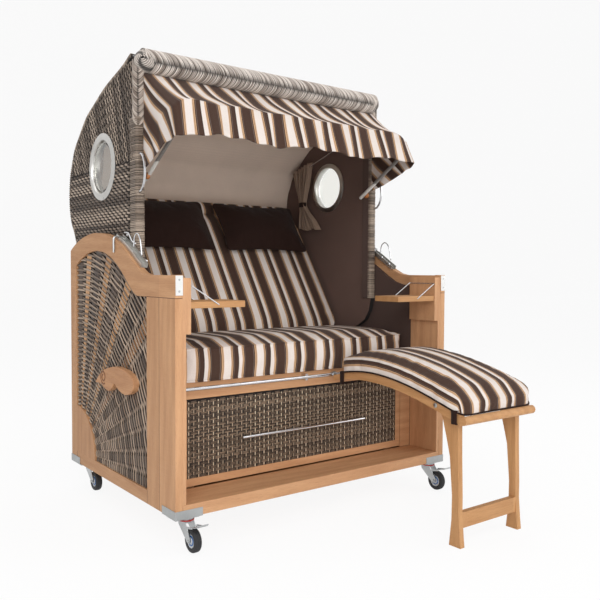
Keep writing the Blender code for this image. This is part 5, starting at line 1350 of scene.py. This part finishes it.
def tilted(points, along, out, x=0.0):
    """Points of a pad laid on the backrest: its own Y goes up the board and its Z out of it."""
    y = 0.600 + (along + points[:, 1]) * math.sin(LEAN) - (out + points[:, 2]) * math.cos(LEAN)
    z = 0.450 + (along + points[:, 1]) * math.cos(LEAN) + (out + points[:, 2]) * math.sin(LEAN)
    return world(np.stack([points[:, 0] + x, y, z], axis=1))


REST_HEIGHTS = (0.364, 0.420, 0.375, 0.304)
REST_REAR, REST_FRONT = 0.1135, -0.500


def rest_top(y):
    """Top of the footrest rails at a depth: a cubic arch plus half the rail's depth."""
    share = np.linspace(0, 1, 41)
    height = sum(w * z for w, z in zip(((1 - share) ** 3, 3 * share * (1 - share) ** 2,
                                        3 * share ** 2 * (1 - share), share ** 3), REST_HEIGHTS))
    depth = 0.020 + 0.010 * np.minimum(1.0, share * 3)
    return np.interp(np.clip((y - REST_REAR) / (REST_FRONT - REST_REAR), 0, 1), share, height + depth / 2)


# Awning and curtains

def canvas_grid(columns=280, rows=36):
    """Canvas points, share across x place from rim to hem, and their place on the cloth.

    Each share has a point on the rim, on the bow's fold and on the hem; between them the cloth goes
    straight, less a sag, plus soft folds that grow towards the hem.  Along a wing the fold leaves the
    straight line between rim and hem by the tenth power of the share, so its stripes run on unbroken.
    """
    share = np.linspace(0, 1, columns + 1)
    side = np.where(share < 0.5, -1.0, 1.0)
    near = np.minimum(share, 1 - share)
    hem_y, hem_z, lift = 0.115, 1.204, 0.0082
    fold_y, fold_z, rim_y, top = 0.160 - lift, 1.312 + lift, 0.365 - 0.0009, 1.4427
    wing_share, top_share = 0.22, 0.28
    rim_x, bow_x = 0.533, 0.528
    part = np.clip(near / wing_share, 0, 1)
    eased = part ** 0.8
    foot = 1.127
    rest = np.clip((near - wing_share) / top_share, 0, 1)
    corner_drop = 0.026 * np.exp(-(rest / 0.045) ** 2)
    rim_a = np.stack([side * rim_x, np.full_like(part, rim_y), foot + (top - foot) * part], axis=1)
    hem_a = np.stack([side * (rim_x + 0.010 * np.sin(math.pi * part)), rim_y + (hem_y - rim_y) * eased,
                      1.112 + (hem_z - 1.112) * part], axis=1)
    high = np.stack([side * bow_x, np.full_like(part, fold_y), fold_z - corner_drop], axis=1)
    bent = (part ** 10)[:, None]
    fold_a = (rim_a * 0.42 + hem_a * 0.58) * (1 - bent) + high * bent
    half = side * (1 - rest)
    inward = np.clip(rest * 4 - 0.3, 0, 1)
    rim_b = np.stack([half * rim_x, rim_y + (ROLL[0] - rim_y) * inward, np.full_like(part, top)], axis=1)
    fold_b = np.stack([half * bow_x, np.full_like(part, fold_y), fold_z - corner_drop], axis=1)
    hem_b = np.stack([half * rim_x, np.full_like(part, hem_y), np.full_like(part, hem_z)], axis=1)
    wing = (near < wing_share)[:, None]
    rim, fold, hem = (np.where(wing, a, b) for a, b in ((rim_a, rim_b), (fold_a, fold_b), (hem_a, hem_b)))
    t = np.linspace(0, 2, rows + 1)
    up, down = np.minimum(t, 1)[None, :, None], np.maximum(t - 1, 0)[None, :, None]
    grid = rim[:, None] + (fold - rim)[:, None] * up + (hem - fold)[:, None] * down
    edge = part[:, None] ** 2
    taut = np.sin(math.pi * np.minimum(t, 1))[None]
    fall = np.maximum(t - 1, 0)[None]
    u = share * 2 * math.pi
    crease = (np.abs(np.sin(u * 4.5 + 0.4)) ** 0.7 - 0.6 + 0.45 * np.sin(u * 11.0 + 2.1))[:, None]
    slant = (np.sin((u * 7.0)[:, None] + 2.2 * t[None]) + 0.6 * np.sin((u * 12.0)[:, None] - 1.5 * t[None] + 1.0))
    grid[..., 2] -= (0.014 + 0.0048 * slant) * taut * edge
    ripple = np.sin((u * 10.0)[:, None] + 0.7 + 0.9 * t[None]) + 0.5 * np.sin((u * 17.0)[:, None] + 2.1)
    grid[..., 1] -= 0.0075 * ripple * fall * edge
    grid[..., 2] -= (0.0075 * np.sin(u * 5.0 + 1.0) + 0.0030 * np.sin(u * 19.0))[:, None] * fall * edge
    ridge = np.exp(-((t - 1) / 0.09) ** 2)[None]
    grid[..., 2] += 0.0040 * crease * ridge * edge
    inside_wing = (np.where(near < wing_share, -side, 0.0) * np.sin(math.pi * part))[:, None]
    folds = np.sin((near * 95)[:, None] + 1.2 * t[None])
    grid[..., 0] += inside_wing * 0.0060 * np.sin(math.pi * t / 2)[None] * (1 + folds)
    middle = (grid[:, rows // 4] + grid[:, rows // 2]) / 2
    uv = np.stack([np.broadcast_to(lengths(middle)[:, None], grid.shape[:2]), lengths(grid)], axis=-1)
    return world(grid), uv


def porthole(label, side):
    """Porthole: flange, deep sleeve with an inner lip and ring, and three screws, turned from one profile.

    Heights count outwards from the hood's inner face.
    """
    out = HOOD_HALF - HOOD_INSIDE
    profile = [(0.0985, out + 0.0006), (0.1245, out + 0.0006), (0.1250, out + 0.0030), (0.1150, out + 0.0046),
               (0.1070, out + 0.0082), (0.1030, out + 0.0082), (0.1000, out + 0.0060), (0.0975, out - 0.0020),
               (0.0960, 0.0140), (0.0920, 0.0135), (0.0905, 0.0115), (0.0905, -0.0040), (0.0925, -0.0080),
               (0.1050, -0.0078), (0.1120, -0.0040), (0.1120, -0.0004), (0.0985, -0.0004), (0.0985, out + 0.0006)]
    centre = (side * HOOD_INSIDE, *PORT)
    ring = lathe(f"porthole_{label}", outward(profile, side), centre, "hood", "aluminium", steps=96, sharp=40)
    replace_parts(ring, f"porthole_frame_{label}")
    for k, angle in enumerate((0.35, 2.45, 4.55)):
        place = centre + np.array((side * (out + 0.0020), 0.1180 * math.cos(angle), 0.1180 * math.sin(angle)))
        head = [(0, 0), (0.0042, 0), (0.0036, 0.0022), (0, 0.0030)]
        lathe(f"porthole_screw_{label}_{k}", outward(head, side), place, "hood", "zinc", steps=16)


ROD_X = 0.510
ROD_REAR, ROD_FRONT = (0.586, 1.314), (0.890, 1.223)
CURTAIN_TOP, TIE, CURTAIN_FOOT = 1.2595, 1.081, 0.967
TIE_Y, TIE_HALF = 0.828, 0.019


def curtain_grid(side, columns=120, rows=48):
    """Gathered curtain: pleats as a sine across, drawn together at the tie, hung along the sloping rod."""
    z = np.linspace(CURTAIN_TOP, CURTAIN_FOOT, rows + 1)
    stops = [CURTAIN_FOOT, TIE, CURTAIN_TOP]
    half = np.interp(z, stops, [0.066, TIE_HALF, 0.064])
    tight = 1 - np.exp(-((z - TIE) / 0.045) ** 2)
    half = TIE_HALF + (half - TIE_HALF) * np.maximum(tight, 0.02)
    below = np.clip((TIE - z) / 0.116, 0, 1)
    middle = TIE_Y - 0.060 * below
    across = np.linspace(-1, 1, columns + 1)
    phase = across * math.pi * 5.5 + 0.5 * np.sin(z * 14)[:, None]
    pleat = np.sin(phase) * 0.85 + np.sin(across * math.pi * 9.0 + z[:, None] * 9) * 0.15
    deep = np.interp(z, stops, [0.0175, 0.0100, 0.0150])[:, None]
    y = middle[:, None] + half[:, None] * (across + 0.09 * np.sin(2 * phase))
    y = y + 0.003 * np.sin(z * 40)[:, None] * (1 - np.abs(across))
    x = side * (ROD_X + pleat * deep)
    slope = (ROD_FRONT[1] - ROD_REAR[1]) / (ROD_FRONT[0] - ROD_REAR[0])
    tall = z[:, None] + (y - middle[:, None]) * slope * np.clip((z[:, None] - TIE) / 0.17, 0, 1)
    tall = tall - 0.010 * (1 + np.sin(across * 5.0))[None] * np.clip((1.0 - z[:, None]) / 0.03, 0, 1) * 0.5
    return spots(x, y, tall)


# Settings a user would change

class StageSettings(bpy.types.PropertyGroup):
    """Camera and light."""
    lens: FloatProperty(name="Lens", description="Focal length in millimetres on a 36 mm wide sensor",
                        default=43.58, min=10)
    place: FloatVectorProperty(name="Camera place", description="Where the camera stands", subtype="TRANSLATION",
                               unit="LENGTH", default=(-1.62, FRONT - 1.974, UNDER + 0.766))
    yaw: FloatProperty(name="Yaw", description="Turn of the view from looking straight back", subtype="ANGLE",
                       default=math.radians(37.07))
    pitch: FloatProperty(name="Pitch", description="How far the view looks down", subtype="ANGLE",
                         default=math.radians(2.33))
    roll: FloatProperty(name="Roll", description="Tilt of the view", subtype="ANGLE", default=math.radians(0.29))
    lamp_power: FloatProperty(name="Lamp power", description="Power of the main lamp in watts", default=95.0, min=0)
    floor: FloatVectorProperty(name="Floor", description="Colour of the floor and backdrop", subtype="COLOR",
                               size=4, default=(0.97, 0.97, 0.97, 1.0))


class WeaveSettings(bpy.types.PropertyGroup):
    """Strands of the woven surfaces."""
    pitch: FloatProperty(name="Strand spacing", description="Distance between two strands", unit="LENGTH",
                         default=0.0100, min=0.002)
    stake: FloatProperty(name="Stake spacing", description="Distance between two stakes", unit="LENGTH",
                         default=0.0180, min=0.01)
    spoke: FloatProperty(name="Sunburst spokes", description="Angle between two spokes of the side panels",
                         subtype="ANGLE", default=math.radians(6.65))


class PadSettings(bpy.types.PropertyGroup):
    """Stuffing of the cushions."""
    pressure: FloatProperty(name="Pressure", description="How hard the cushions are stuffed", default=4.0, min=0)
    growth: FloatProperty(name="Fullness", description="Share by which the cloth is cut larger than the seams",
                          subtype="FACTOR", default=0.02, min=0, max=0.2)
    piping: FloatProperty(name="Piping", description="Radius of the piped seams", unit="LENGTH", default=0.0030,
                          min=0.001)


class ChairSettings(bpy.types.PropertyGroup):
    """All sizes and colours of the chair that a user would change."""
    stage: PointerProperty(type=StageSettings)
    weave: PointerProperty(type=WeaveSettings)
    pads: PointerProperty(type=PadSettings)


# Operators, one for each group of like pieces

class BEACHCHAIR_OT_stage(bpy.types.Operator):
    """Floor, backdrop, soft lamps and the camera"""
    bl_idname = "beach_chair.stage"
    bl_label = "Stage"

    def execute(self, context):
        stage = context.scene.beach_chair.stage
        self.floor(stage)
        self.lamps(stage)
        self.camera(stage)
        context.scene.view_settings.view_transform = "Standard"
        sky = bpy.data.worlds.new("studio")
        sky.use_nodes = True
        tree = sky.node_tree
        feed(tree, tree.nodes["Background"].inputs[0], mixed(self.seen(tree), (0.50, 0.50, 0.50, 1.0), WHITE))
        context.scene.world = sky
        return {"FINISHED"}

    def seen(self, tree):
        """1 for rays that show the surroundings to the camera, straight, in metal or through glass."""
        camera, glossy, through_glass = (value(tree, "LightPath", output=f"Is {kind} Ray")
                                         for kind in ("Camera", "Glossy", "Transmission"))
        return camera | glossy | through_glass

    def floor(self, stage):
        """Level floor that bends up into a backdrop: a quarter circle joins the two."""
        reach, bend_radius, high = 16.0, 3.0, 16.0
        turn = np.linspace(0, math.pi / 2, 16)
        line = np.vstack([[(-reach, 0)], np.stack([reach - bend_radius + bend_radius * np.sin(turn),
                                                   bend_radius - bend_radius * np.cos(turn)], axis=1),
                          [(reach, high)]])
        across = np.linspace(-30.0, 30.0, 5)
        grid = np.stack(np.broadcast_arrays(across, line[:, 0, None], line[:, 1, None]), axis=-1)
        material = bpy.data.materials.new("backdrop")
        material.use_nodes = True
        tree = material.node_tree
        shader = tree.nodes["Principled BSDF"]
        shader.inputs["Base Color"].default_value = stage.floor
        shader.inputs["Roughness"].default_value = 0.9
        glow = value(tree, "Emission", {"Color": WHITE, "Strength": 1.0})
        both = value(tree, "MixShader", {0: self.seen(tree) * 0.90, 1: Value(shader.outputs[0]), 2: glow})
        feed(tree, tree.nodes["Material Output"].inputs["Surface"], both)
        return surface("floor", grid, None, material, flip=True)

    def lamps(self, stage):
        """Four soft area lamps, each turned to the middle of the chair."""
        aim = Vector((0, 0, 0.8))
        for name, place, size, power in (("key", (-2.9, -3.6, 3.2), 3.0, 1.0), ("fill", (3.4, -3.0, 2.4), 3.0, 0.5),
                                         ("top", (0.0, 0.8, 4.2), 3.4, 0.45), ("low", (-0.9, -3.0, 0.35), 2.4, 0.38)):
            lamp = bpy.data.lights.new(name, "AREA")
            lamp.energy = stage.lamp_power * power
            lamp.size = size
            obj = bpy.data.objects.new(name, lamp)
            obj.location = place
            obj.rotation_euler = (aim - Vector(place)).to_track_quat("-Z", "Y").to_euler()
            bpy.context.scene.collection.objects.link(obj)

    def camera(self, stage):
        """Camera whose axes are its right, its up and its way back, from yaw, pitch and roll."""
        yaw, pitch, roll = stage.yaw, stage.pitch, stage.roll
        ahead = np.array((math.sin(yaw) * math.cos(pitch), math.cos(yaw) * math.cos(pitch), -math.sin(pitch)))
        level = np.array((math.cos(yaw), -math.sin(yaw), 0))
        right = math.cos(roll) * level + math.sin(roll) * np.cross(level, ahead)
        up = np.cross(right, ahead)
        data = bpy.data.cameras.new("camera")
        data.sensor_width = 36
        data.lens = stage.lens
        obj = bpy.data.objects.new("camera", data)
        obj.matrix_world = Matrix([[right[k], up[k], -ahead[k], stage.place[k]] for k in range(3)] + [[0, 0, 0, 1]])
        bpy.context.scene.collection.objects.link(obj)
        bpy.context.scene.camera = obj


class BEACHCHAIR_OT_woodwork(bpy.types.Operator):
    """Wooden pieces with rounded edges, grained along their boards"""
    bl_idname = "beach_chair.woodwork"
    bl_label = "Woodwork"

    def execute(self, context):
        for node, finish in (("side_frame_left", "teak_frame"), ("side_frame_right", "teak_frame"),
                             ("floor_and_deck", "teak_x"), ("seat_box", "teak_front"), ("drawer_box", "teak_drawer"),
                             ("backrest_board", "teak_x"), ("table_left", "teak_leaf"), ("table_right", "teak_leaf"),
                             ("footrest_frame", "teak_rest"), ("footrest_legs", "teak_legs"),
                             ("inner_side_left", "lining_inner"), ("inner_side_right", "lining_inner")):
            dressed(node, finish)
        for label in SIDES:
            dressed(f"carry_handle_{label}", "teak_carved", 0.006, 4)
        return {"FINISHED"}


class BEACHCHAIR_OT_metalwork(bpy.types.Operator):
    """Bars, handles, racks, stays, plates and the bow"""
    bl_idname = "beach_chair.metalwork"
    bl_label = "Metalwork"

    def execute(self, context):
        for node, finish in (("footrest_tube", "chrome"), ("drawer_bar", "chrome"), ("awning_bow", "grey_bow")):
            dressed(node, finish, 0)
        for label, side in SIDES.items():
            for node, finish, bevel in (("grab_handle", "chrome", 0), ("recline_rack", "aluminium", 0.0004),
                                        ("table_stay", "chrome", 0), ("latch_lever", "zinc", 0),
                                        ("footrest_hook", "zinc", 0)):
                dressed(f"{node}_{label}", finish, bevel, sharp=40)
            for row in ("front", "rear"):
                dressed(f"corner_plate_{row}_{label}", "zinc_plates", 0.0003)
                dressed(f"fork_{row}_{label}", "zinc", 0.0005, sharp=40)
            dressed(f"brake_front_{label}", "zinc", 0.0005)
            porthole(label, side)
            recoloured(f"porthole_pane_{label}", "glass_pane")
            self.arm_plate(label, side)
            self.scroll(label, side)
            self.rack_parts(label, side)
        # The back panel behind the rear weave is painted shade.
        recoloured("back_panel", "backing")
        return {"FINISHED"}

    def arm_plate(self, label, side):
        """White sheet over the front end of an arm, with two screws."""
        low, high = (side * 0.5752, -0.0019, 0.688), (side * 0.5998, -0.0004, 0.7488)
        box(f"arm_plate_{label}", low, high, "base", "plate_white")
        for k, z in enumerate((0.7005, 0.7360)):
            lathe(f"arm_screw_{label}_{k}", [(0, 0), (0.0034, 0), (0.0026, 0.0012), (0, 0.0016)],
                  (side * 0.5875, -0.0019, z), "base", "zinc", axis="Y", steps=14)

    def scroll(self, label, side):
        """Carved curl near the rear of a carry handle: a spiral whose radius falls evenly with its turn."""
        turn = np.linspace(0, 1.6 * 2 * math.pi, 90)
        radius = 0.0270 - 0.0190 * turn / turn[-1]
        line = np.stack([np.full_like(turn, side * 0.6135), 0.5280 + radius * np.cos(turn - 2.2),
                         0.3800 + radius * np.sin(turn - 2.2) * 0.95], axis=1)
        # The curl's dark wood is painted shade, for the shadow in the carved groove.
        pipe(f"handle_scroll_{label}", line, 0.0042, "base", "teak_scroll")

    def rack_parts(self, label, side):
        """Bolts, spring loop and lever of the recline mechanism over an arm's rise."""
        x = side * 0.5760
        for k, (y, z) in enumerate(((0.285, 0.795), (0.330, 0.824), (0.375, 0.856), (0.432, 0.889))):
            head = [(0, -0.0050), (0.0058, -0.0044), (0.0066, 0), (0.0066, 0.0008), (0, 0.0008)]
            lathe(f"rack_bolt_{label}_{k}", outward(head, side), (side * 0.5630, y, z), "base", "chrome", steps=20)
        loop = [(x, 0.352, 0.842), (x, 0.344, 0.876), (x, 0.322, 0.888), (x, 0.300, 0.868), (x, 0.286, 0.812)]
        pipe(f"rack_loop_{label}", through(loop, 8), 0.0026, "base", "chrome")
        lever = [(x - side * 0.006, y, z) for y, z in ((0.440, 0.896), (0.408, 0.892), (0.380, 0.866), (0.368, 0.860))]
        pipe(f"rack_lever_{label}", through(lever, 6), 0.0034, "base", "chrome")


class BEACHCHAIR_OT_wickerwork(bpy.types.Operator):
    """Woven sides, hood, back and drawer front"""
    bl_idname = "beach_chair.wickerwork"
    bl_label = "Wickerwork"

    def execute(self, context):
        sizes = context.scene.beach_chair.weave
        for label, side in SIDES.items():
            sunburst(label, side, sizes.spoke)
            # The side weave's sunk faces, behind the strands, are painted shade.
            sunk(f"side_weave_{label}", 0.0030, "backing", WEAVE_FACE - 0.0001)
            sunk(f"hood_side_{label}", 0.0034, "lining_side", HOOD_HALF - 0.0001)
            below, above = hood_side_outlines()
            # The hood sides' stakes take the dark finish: painted shade in the weave's holes.
            for part, outline, turn in (("lower", below, 0.0), ("upper", above, math.radians(76))):
                flat_weave(f"hood_side_{part}_{label}", outline, upright(side * HOOD_HALF), sizes.pitch, sizes.stake,
                           "hood", "strand_brown", "stake_dark", holes=[(*PORT, 0.1195)], columns=110,
                           seed=61 + side, turn=turn)
        roof_weave(sizes.pitch, sizes.stake)
        rear = np.array([(-0.573, 0.004), (0.573, 0.004), (0.573, 0.499), (-0.573, 0.499)])
        # The rear panel's stakes take the dark finish: painted shade in the weave's holes.
        flat_weave("rear_panel", rear, facing_y(0.8964, 1), sizes.pitch, sizes.stake, "base",
                   "strand_brown", "stake_dark", columns=150, seed=71)
        field = np.array([(-0.4785, 0.0715), (0.4785, 0.0715), (0.4785, 0.3350), (-0.4785, 0.3350)])
        flat_weave("drawer_panel", field, facing_y(0.1538, -1), 0.0104, 0.0189, "drawer", "strand_drawer",
                   "stake_pale", columns=230, seed=81, lift=0.0017, margin=0.0, pair=2)
        return {"FINISHED"}


class BEACHCHAIR_OT_rim(bpy.types.Operator):
    """Plaited roll and posts of the hood's rim"""
    bl_idname = "beach_chair.rim"
    bl_label = "Plaited rim"

    def execute(self, context):
        self.core()
        top_roll()
        for label, side in SIDES.items():
            rim_post(label, side)
        return {"FINISHED"}

    def core(self):
        """Core under the plait: a bar with round ends and two posts, a little thinner than the rim, dark as painted
        shade for the gaps in the plait.
        """
        thin = ROLL_RADIUS - 0.0030
        turn = np.linspace(0, math.pi / 2, 10)
        ends = np.stack([thin * np.cos(turn), CAP + thin * np.sin(turn)], axis=1)
        profile = np.vstack([ends[::-1] * (1, -1), ends])
        profile = profile[np.argsort(profile[:, 1])]
        core = lathe("rim_core", profile, (0, *ROLL), "hood", "backing", steps=40, sharp=80)
        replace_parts(core, "hood_rim")
        for label, side in SIDES.items():
            box(f"rim_core_{label}", (side * (HOOD_HALF - RIM_WIDTH + 0.001), HOOD_FRONT + 0.003, RIM_FOOT),
                (side * (HOOD_HALF - 0.003), RIM_BACK - 0.001, ROLL[1]), "hood", "backing", 0.006)


class BEACHCHAIR_OT_cushions(bpy.types.Operator):
    """Seat and back cushions, head pillows and the footrest's pad"""
    bl_idname = "beach_chair.cushions"
    bl_label = "Cushions"

    def execute(self, context):
        sizes = context.scene.beach_chair.pads
        rules = {"pressure": sizes.pressure, "growth": sizes.growth}
        self.striped("seat_cushion", (1.062, 0.398, 0.124), (84, 34, 10), "base", "stripes_seat", sizes,
                     lambda p: world(p + (0, 0.137, 0.3933)), (0, 0, 1), 0.016)
        self.striped("back_cushion", (1.036, 0.640, 0.076), (84, 52, 7), "hood", "stripes_back", sizes,
                     lambda p: tilted(p, 0.010, 0.0003), (0, -math.cos(LEAN), math.sin(LEAN)), 0.012)
        for label, side in SIDES.items():
            size = (0.440, 0.264, 0.090)
            x = side * 0.245
            pillow = pad(f"head_pillow_{label}_cloth", size, (44, 28, 6), "hood", "cloth_dark",
                         lambda p, x=x: tilted(p, 0.400, 0.0756, x), crown=0.030, draw=0.014, knife=0.86, cap=0.016,
                         fill=0.7, round_by=14.0, base=1.0, **rules)
            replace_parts(pillow, f"head_pillow_{label}")
        pad("back_flap", (0.990, 0.072, 0.034), (66, 8, 4), "hood", "stripes_back",
            lambda p: tilted(p, 0.6340, 0.0450), crown=0.006, draw=0.003, cap=0.004, fill=0.9, **rules)
        self.rest_pad(sizes)
        return {"FINISHED"}

    def striped(self, node, size, cells, body, finish, sizes, lay, up, cap):
        """Boxed pad with a piped seam round its upper and its lower edge."""
        made = pad(node + "_cloth", size, cells, body, finish, lay, crown=0.012, draw=0.006, cap=cap,
                   pressure=sizes.pressure, growth=sizes.growth, fill=0.9)
        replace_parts(made, node)
        self.piping(node, size, body, finish, sizes, lay, up)

    def piping(self, node, size, body, finish, sizes, lay, up):
        """Cords a little inside a pad's two seams, clear of what it lies on."""
        for level, label in ((1, "upper"), (-1, "lower")):
            line = seam_line(size, 0.012, 0.006, level, count=320, outset=-0.0005)
            line[:, 2] -= level * sizes.piping * 0.4
            line[:, 2] = np.maximum(line[:, 2], sizes.piping)
            hoop(f"{node}_{label}_piping", lay(line), up, sizes.piping, body, finish)

    def rest_pad(self, sizes):
        """Footrest pad bent over the rails; its front is rounded off and droops onto the end bar."""
        low_x, high_x = 0.108, 0.489
        size = (high_x - low_x, 0.586, 0.066)

        def lay(p):
            y = -0.506 + p[:, 1]
            near = np.clip(p[:, 1] / 0.055, 0, 1)
            height = p[:, 2] * (0.62 + 0.38 * np.sqrt(1 - (1 - near) ** 2))
            droop = 0.0015 * (1 - near)
            return world(np.stack([p[:, 0] + (low_x + high_x) / 2, y, height + rest_top(y) + 0.0003 - droop], axis=1))
        made = pad("footrest_cushion_cloth", size, (34, 54, 7), "footrest", "stripes_rest", lay, crown=0.012,
                   draw=0.004, cap=0.012, pressure=sizes.pressure, growth=sizes.growth, fill=0.9)
        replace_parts(made, "footrest_cushion")
        line = seam_line(size, 0.012, 0.004, -1, count=280, outset=0.0008)
        line[:, 2] = np.maximum(line[:, 2], sizes.piping)
        hoop("footrest_cushion_piping", lay(line), (0, 0, 1), sizes.piping, "footrest", "cloth_dark")
        for label, y in (("front", -0.478), ("rear", 0.058)):
            self.loop(label, y)
        head = [(0, 0.0012), (0.0076, 0.0012), (0.0076, 0.0030), (0.0060, 0.0040), (0, 0.0040)]
        for label, x, out in (("left", 0.117, -1), ("right", 0.467, 1)):
            lathe(f"rest_pin_{label}", outward(head, out), (x, -0.397, 0.338), "footrest_legs", "zinc", steps=24)

    def loop(self, label, y):
        """Cloth loop from the pad's lower edge round the left rail."""
        x = 0.1155
        top = float(rest_top(np.array([y]))[0])
        deep = 0.034 if label == "rear" else 0.030
        path = [(0.150, top + 0.004), (x - 0.0030, top + 0.006), (x - 0.0044, top - 0.004),
                (x - 0.0040, top - deep - 0.003), (x - 0.0005, top - deep - 0.0044), (0.150, top - deep - 0.0020)]
        line = through(path, 5)
        grid = np.stack([spots(line[:, 0], y + w, line[:, 1]) for w in (-0.011, 0.011)], axis=1)
        walled(surface(f"rest_loop_{label}", grid, "footrest", "cloth_dark"), 0.0014, 0.0)


class BEACHCHAIR_OT_awning(bpy.types.Operator):
    """Striped canvas from the rim over the bow to a hanging valance"""
    bl_idname = "beach_chair.awning"
    bl_label = "Awning"

    def execute(self, context):
        grid, uv = canvas_grid()
        canvas = surface("awning_cloth", grid, None, "stripes_canvas", uv=uv)
        walled(canvas, 0.0016, 1.0)
        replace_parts(canvas, "awning_canvas")
        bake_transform(canvas)
        return {"FINISHED"}


class BEACHCHAIR_OT_curtains(bpy.types.Operator):
    """Gathered curtains on their rods, each drawn in by a band"""
    bl_idname = "beach_chair.curtains"
    bl_label = "Curtains"

    def execute(self, context):
        for label, side in SIDES.items():
            grid = curtain_grid(side)
            cloth = surface(f"curtain_{label}_cloth", grid, "hood", "cloth_curtain")
            walled(cloth, 0.0010, 0.0)
            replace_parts(cloth, f"curtain_{label}")
            wall_x, rod_x = side * (HOOD_INSIDE - 0.0003), side * ROD_X
            path = np.array([(wall_x, *ROD_REAR), (rod_x, *ROD_REAR), (rod_x, *ROD_FRONT), (wall_x, *ROD_FRONT)])
            rod = pipe(f"curtain_rod_{label}", rounded(path, 0.006), 0.003, "hood", "chrome", 10)
            turn = circle(40)
            band = spots(side * (ROD_X + 0.0150 * np.sin(turn)), TIE_Y + 0.0225 * np.cos(turn), TIE)
            rings = band[None] + np.array([(0, 0, h) for h in (-0.011, -0.008, 0.008, 0.011)])[:, None]
            surface(f"curtain_band_{label}", rings.transpose(1, 0, 2), "hood", "cloth_dark",
                    wrap=(True, False), flip=side > 0)
        return {"FINISHED"}


CASTER_X, TRAIL, WHEEL_RADIUS, FLOOR = 0.548, 0.045, 0.0375, -0.105
TREAD = [(0.0225, 0.0105), (0.0240, 0.0118), (0.0330, 0.0118), (0.0352, 0.0105), (0.0370, 0.0080), (0.0375, 0.0050),
         (0.0368, 0.0042), (0.0368, 0.0030), (0.0375, 0.0022)]
HUB = [(0.0043, 0.0120), (0.0090, 0.0120), (0.0100, 0.0090), (0.0210, 0.0080), (0.0228, 0.0100)]
HUB_RING = [(0.0125, 0.0085), (0.0125, 0.0098), (0.0165, 0.0094), (0.0165, 0.0080), (0.0125, 0.0085)]
RACE_RING = [(0.0236, -0.0105), (0.0249, -0.0105), (0.0249, -0.0065), (0.0236, -0.0065), (0.0236, -0.0105)]


def mirrored(half):
    """Closed profile from its half at positive heights."""
    return [(r, -h) for r, h in half] + half[::-1] + [(half[0][0], -half[0][1])]


class BEACHCHAIR_OT_casters(bpy.types.Operator):
    """Wheels of the casters: tyre, hub and blue rings, and the red ring of each front race"""
    bl_idname = "beach_chair.casters"
    bl_label = "Casters"

    def execute(self, context):
        for row, y in (("front", 0.030), ("rear", 0.820)):
            for label, side in SIDES.items():
                x = side * CASTER_X
                body = f"wheel_{row}_{label}"
                centre = (x, y - TRAIL, WHEEL_RADIUS + FLOOR)
                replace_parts(lathe(f"{body}_tyre", mirrored(TREAD), centre, body, "rubber", steps=72), body)
                lathe(f"{body}_hub", mirrored(HUB), centre, body, "plate_hub", steps=48)
                for way in (-1, 1):
                    lathe(f"{body}_ring_{'out' if way == side else 'in'}", outward(HUB_RING, way), centre, body,
                          "rubber_blue", steps=40)
                if row == "front":
                    lathe(f"race_ring_{row}_{label}", RACE_RING, (x, y, -0.0040), f"fork_{row}_{label}", "rubber_red",
                          axis="Z")
        return {"FINISHED"}


class BEACHCHAIR_PT_panel(bpy.types.Panel):
    """Lists the building steps and their sizes"""
    bl_idname = "BEACHCHAIR_PT_panel"
    bl_label = "Beach chair"
    bl_space_type = "VIEW_3D"
    bl_region_type = "UI"
    bl_category = "Beach Chair"

    def draw(self, context):
        sizes = context.scene.beach_chair
        for block, names in ((sizes.stage, ("lens", "place", "yaw", "pitch", "roll", "lamp_power", "floor")),
                             (sizes.weave, ("pitch", "stake", "spoke")),
                             (sizes.pads, ("pressure", "growth", "piping"))):
            box = self.layout.box()
            for name in names:
                box.prop(block, name)
        for step in STEPS:
            self.layout.operator(step.bl_idname)


STEPS = (BEACHCHAIR_OT_stage, BEACHCHAIR_OT_woodwork, BEACHCHAIR_OT_metalwork, BEACHCHAIR_OT_wickerwork,
         BEACHCHAIR_OT_rim, BEACHCHAIR_OT_cushions, BEACHCHAIR_OT_awning, BEACHCHAIR_OT_curtains,
         BEACHCHAIR_OT_casters)
CLASSES = (StageSettings, WeaveSettings, PadSettings, ChairSettings, *STEPS, BEACHCHAIR_PT_panel)


def register():
    for cls in CLASSES:
        bpy.utils.register_class(cls)
    bpy.types.Scene.beach_chair = PointerProperty(type=ChairSettings)


def unregister():
    del bpy.types.Scene.beach_chair
    for cls in reversed(CLASSES):
        bpy.utils.unregister_class(cls)


def main():
    register()
    for step in STEPS:
        getattr(bpy.ops.beach_chair, step.bl_idname.split(".")[1])()


if __name__ == "__main__":
    main()
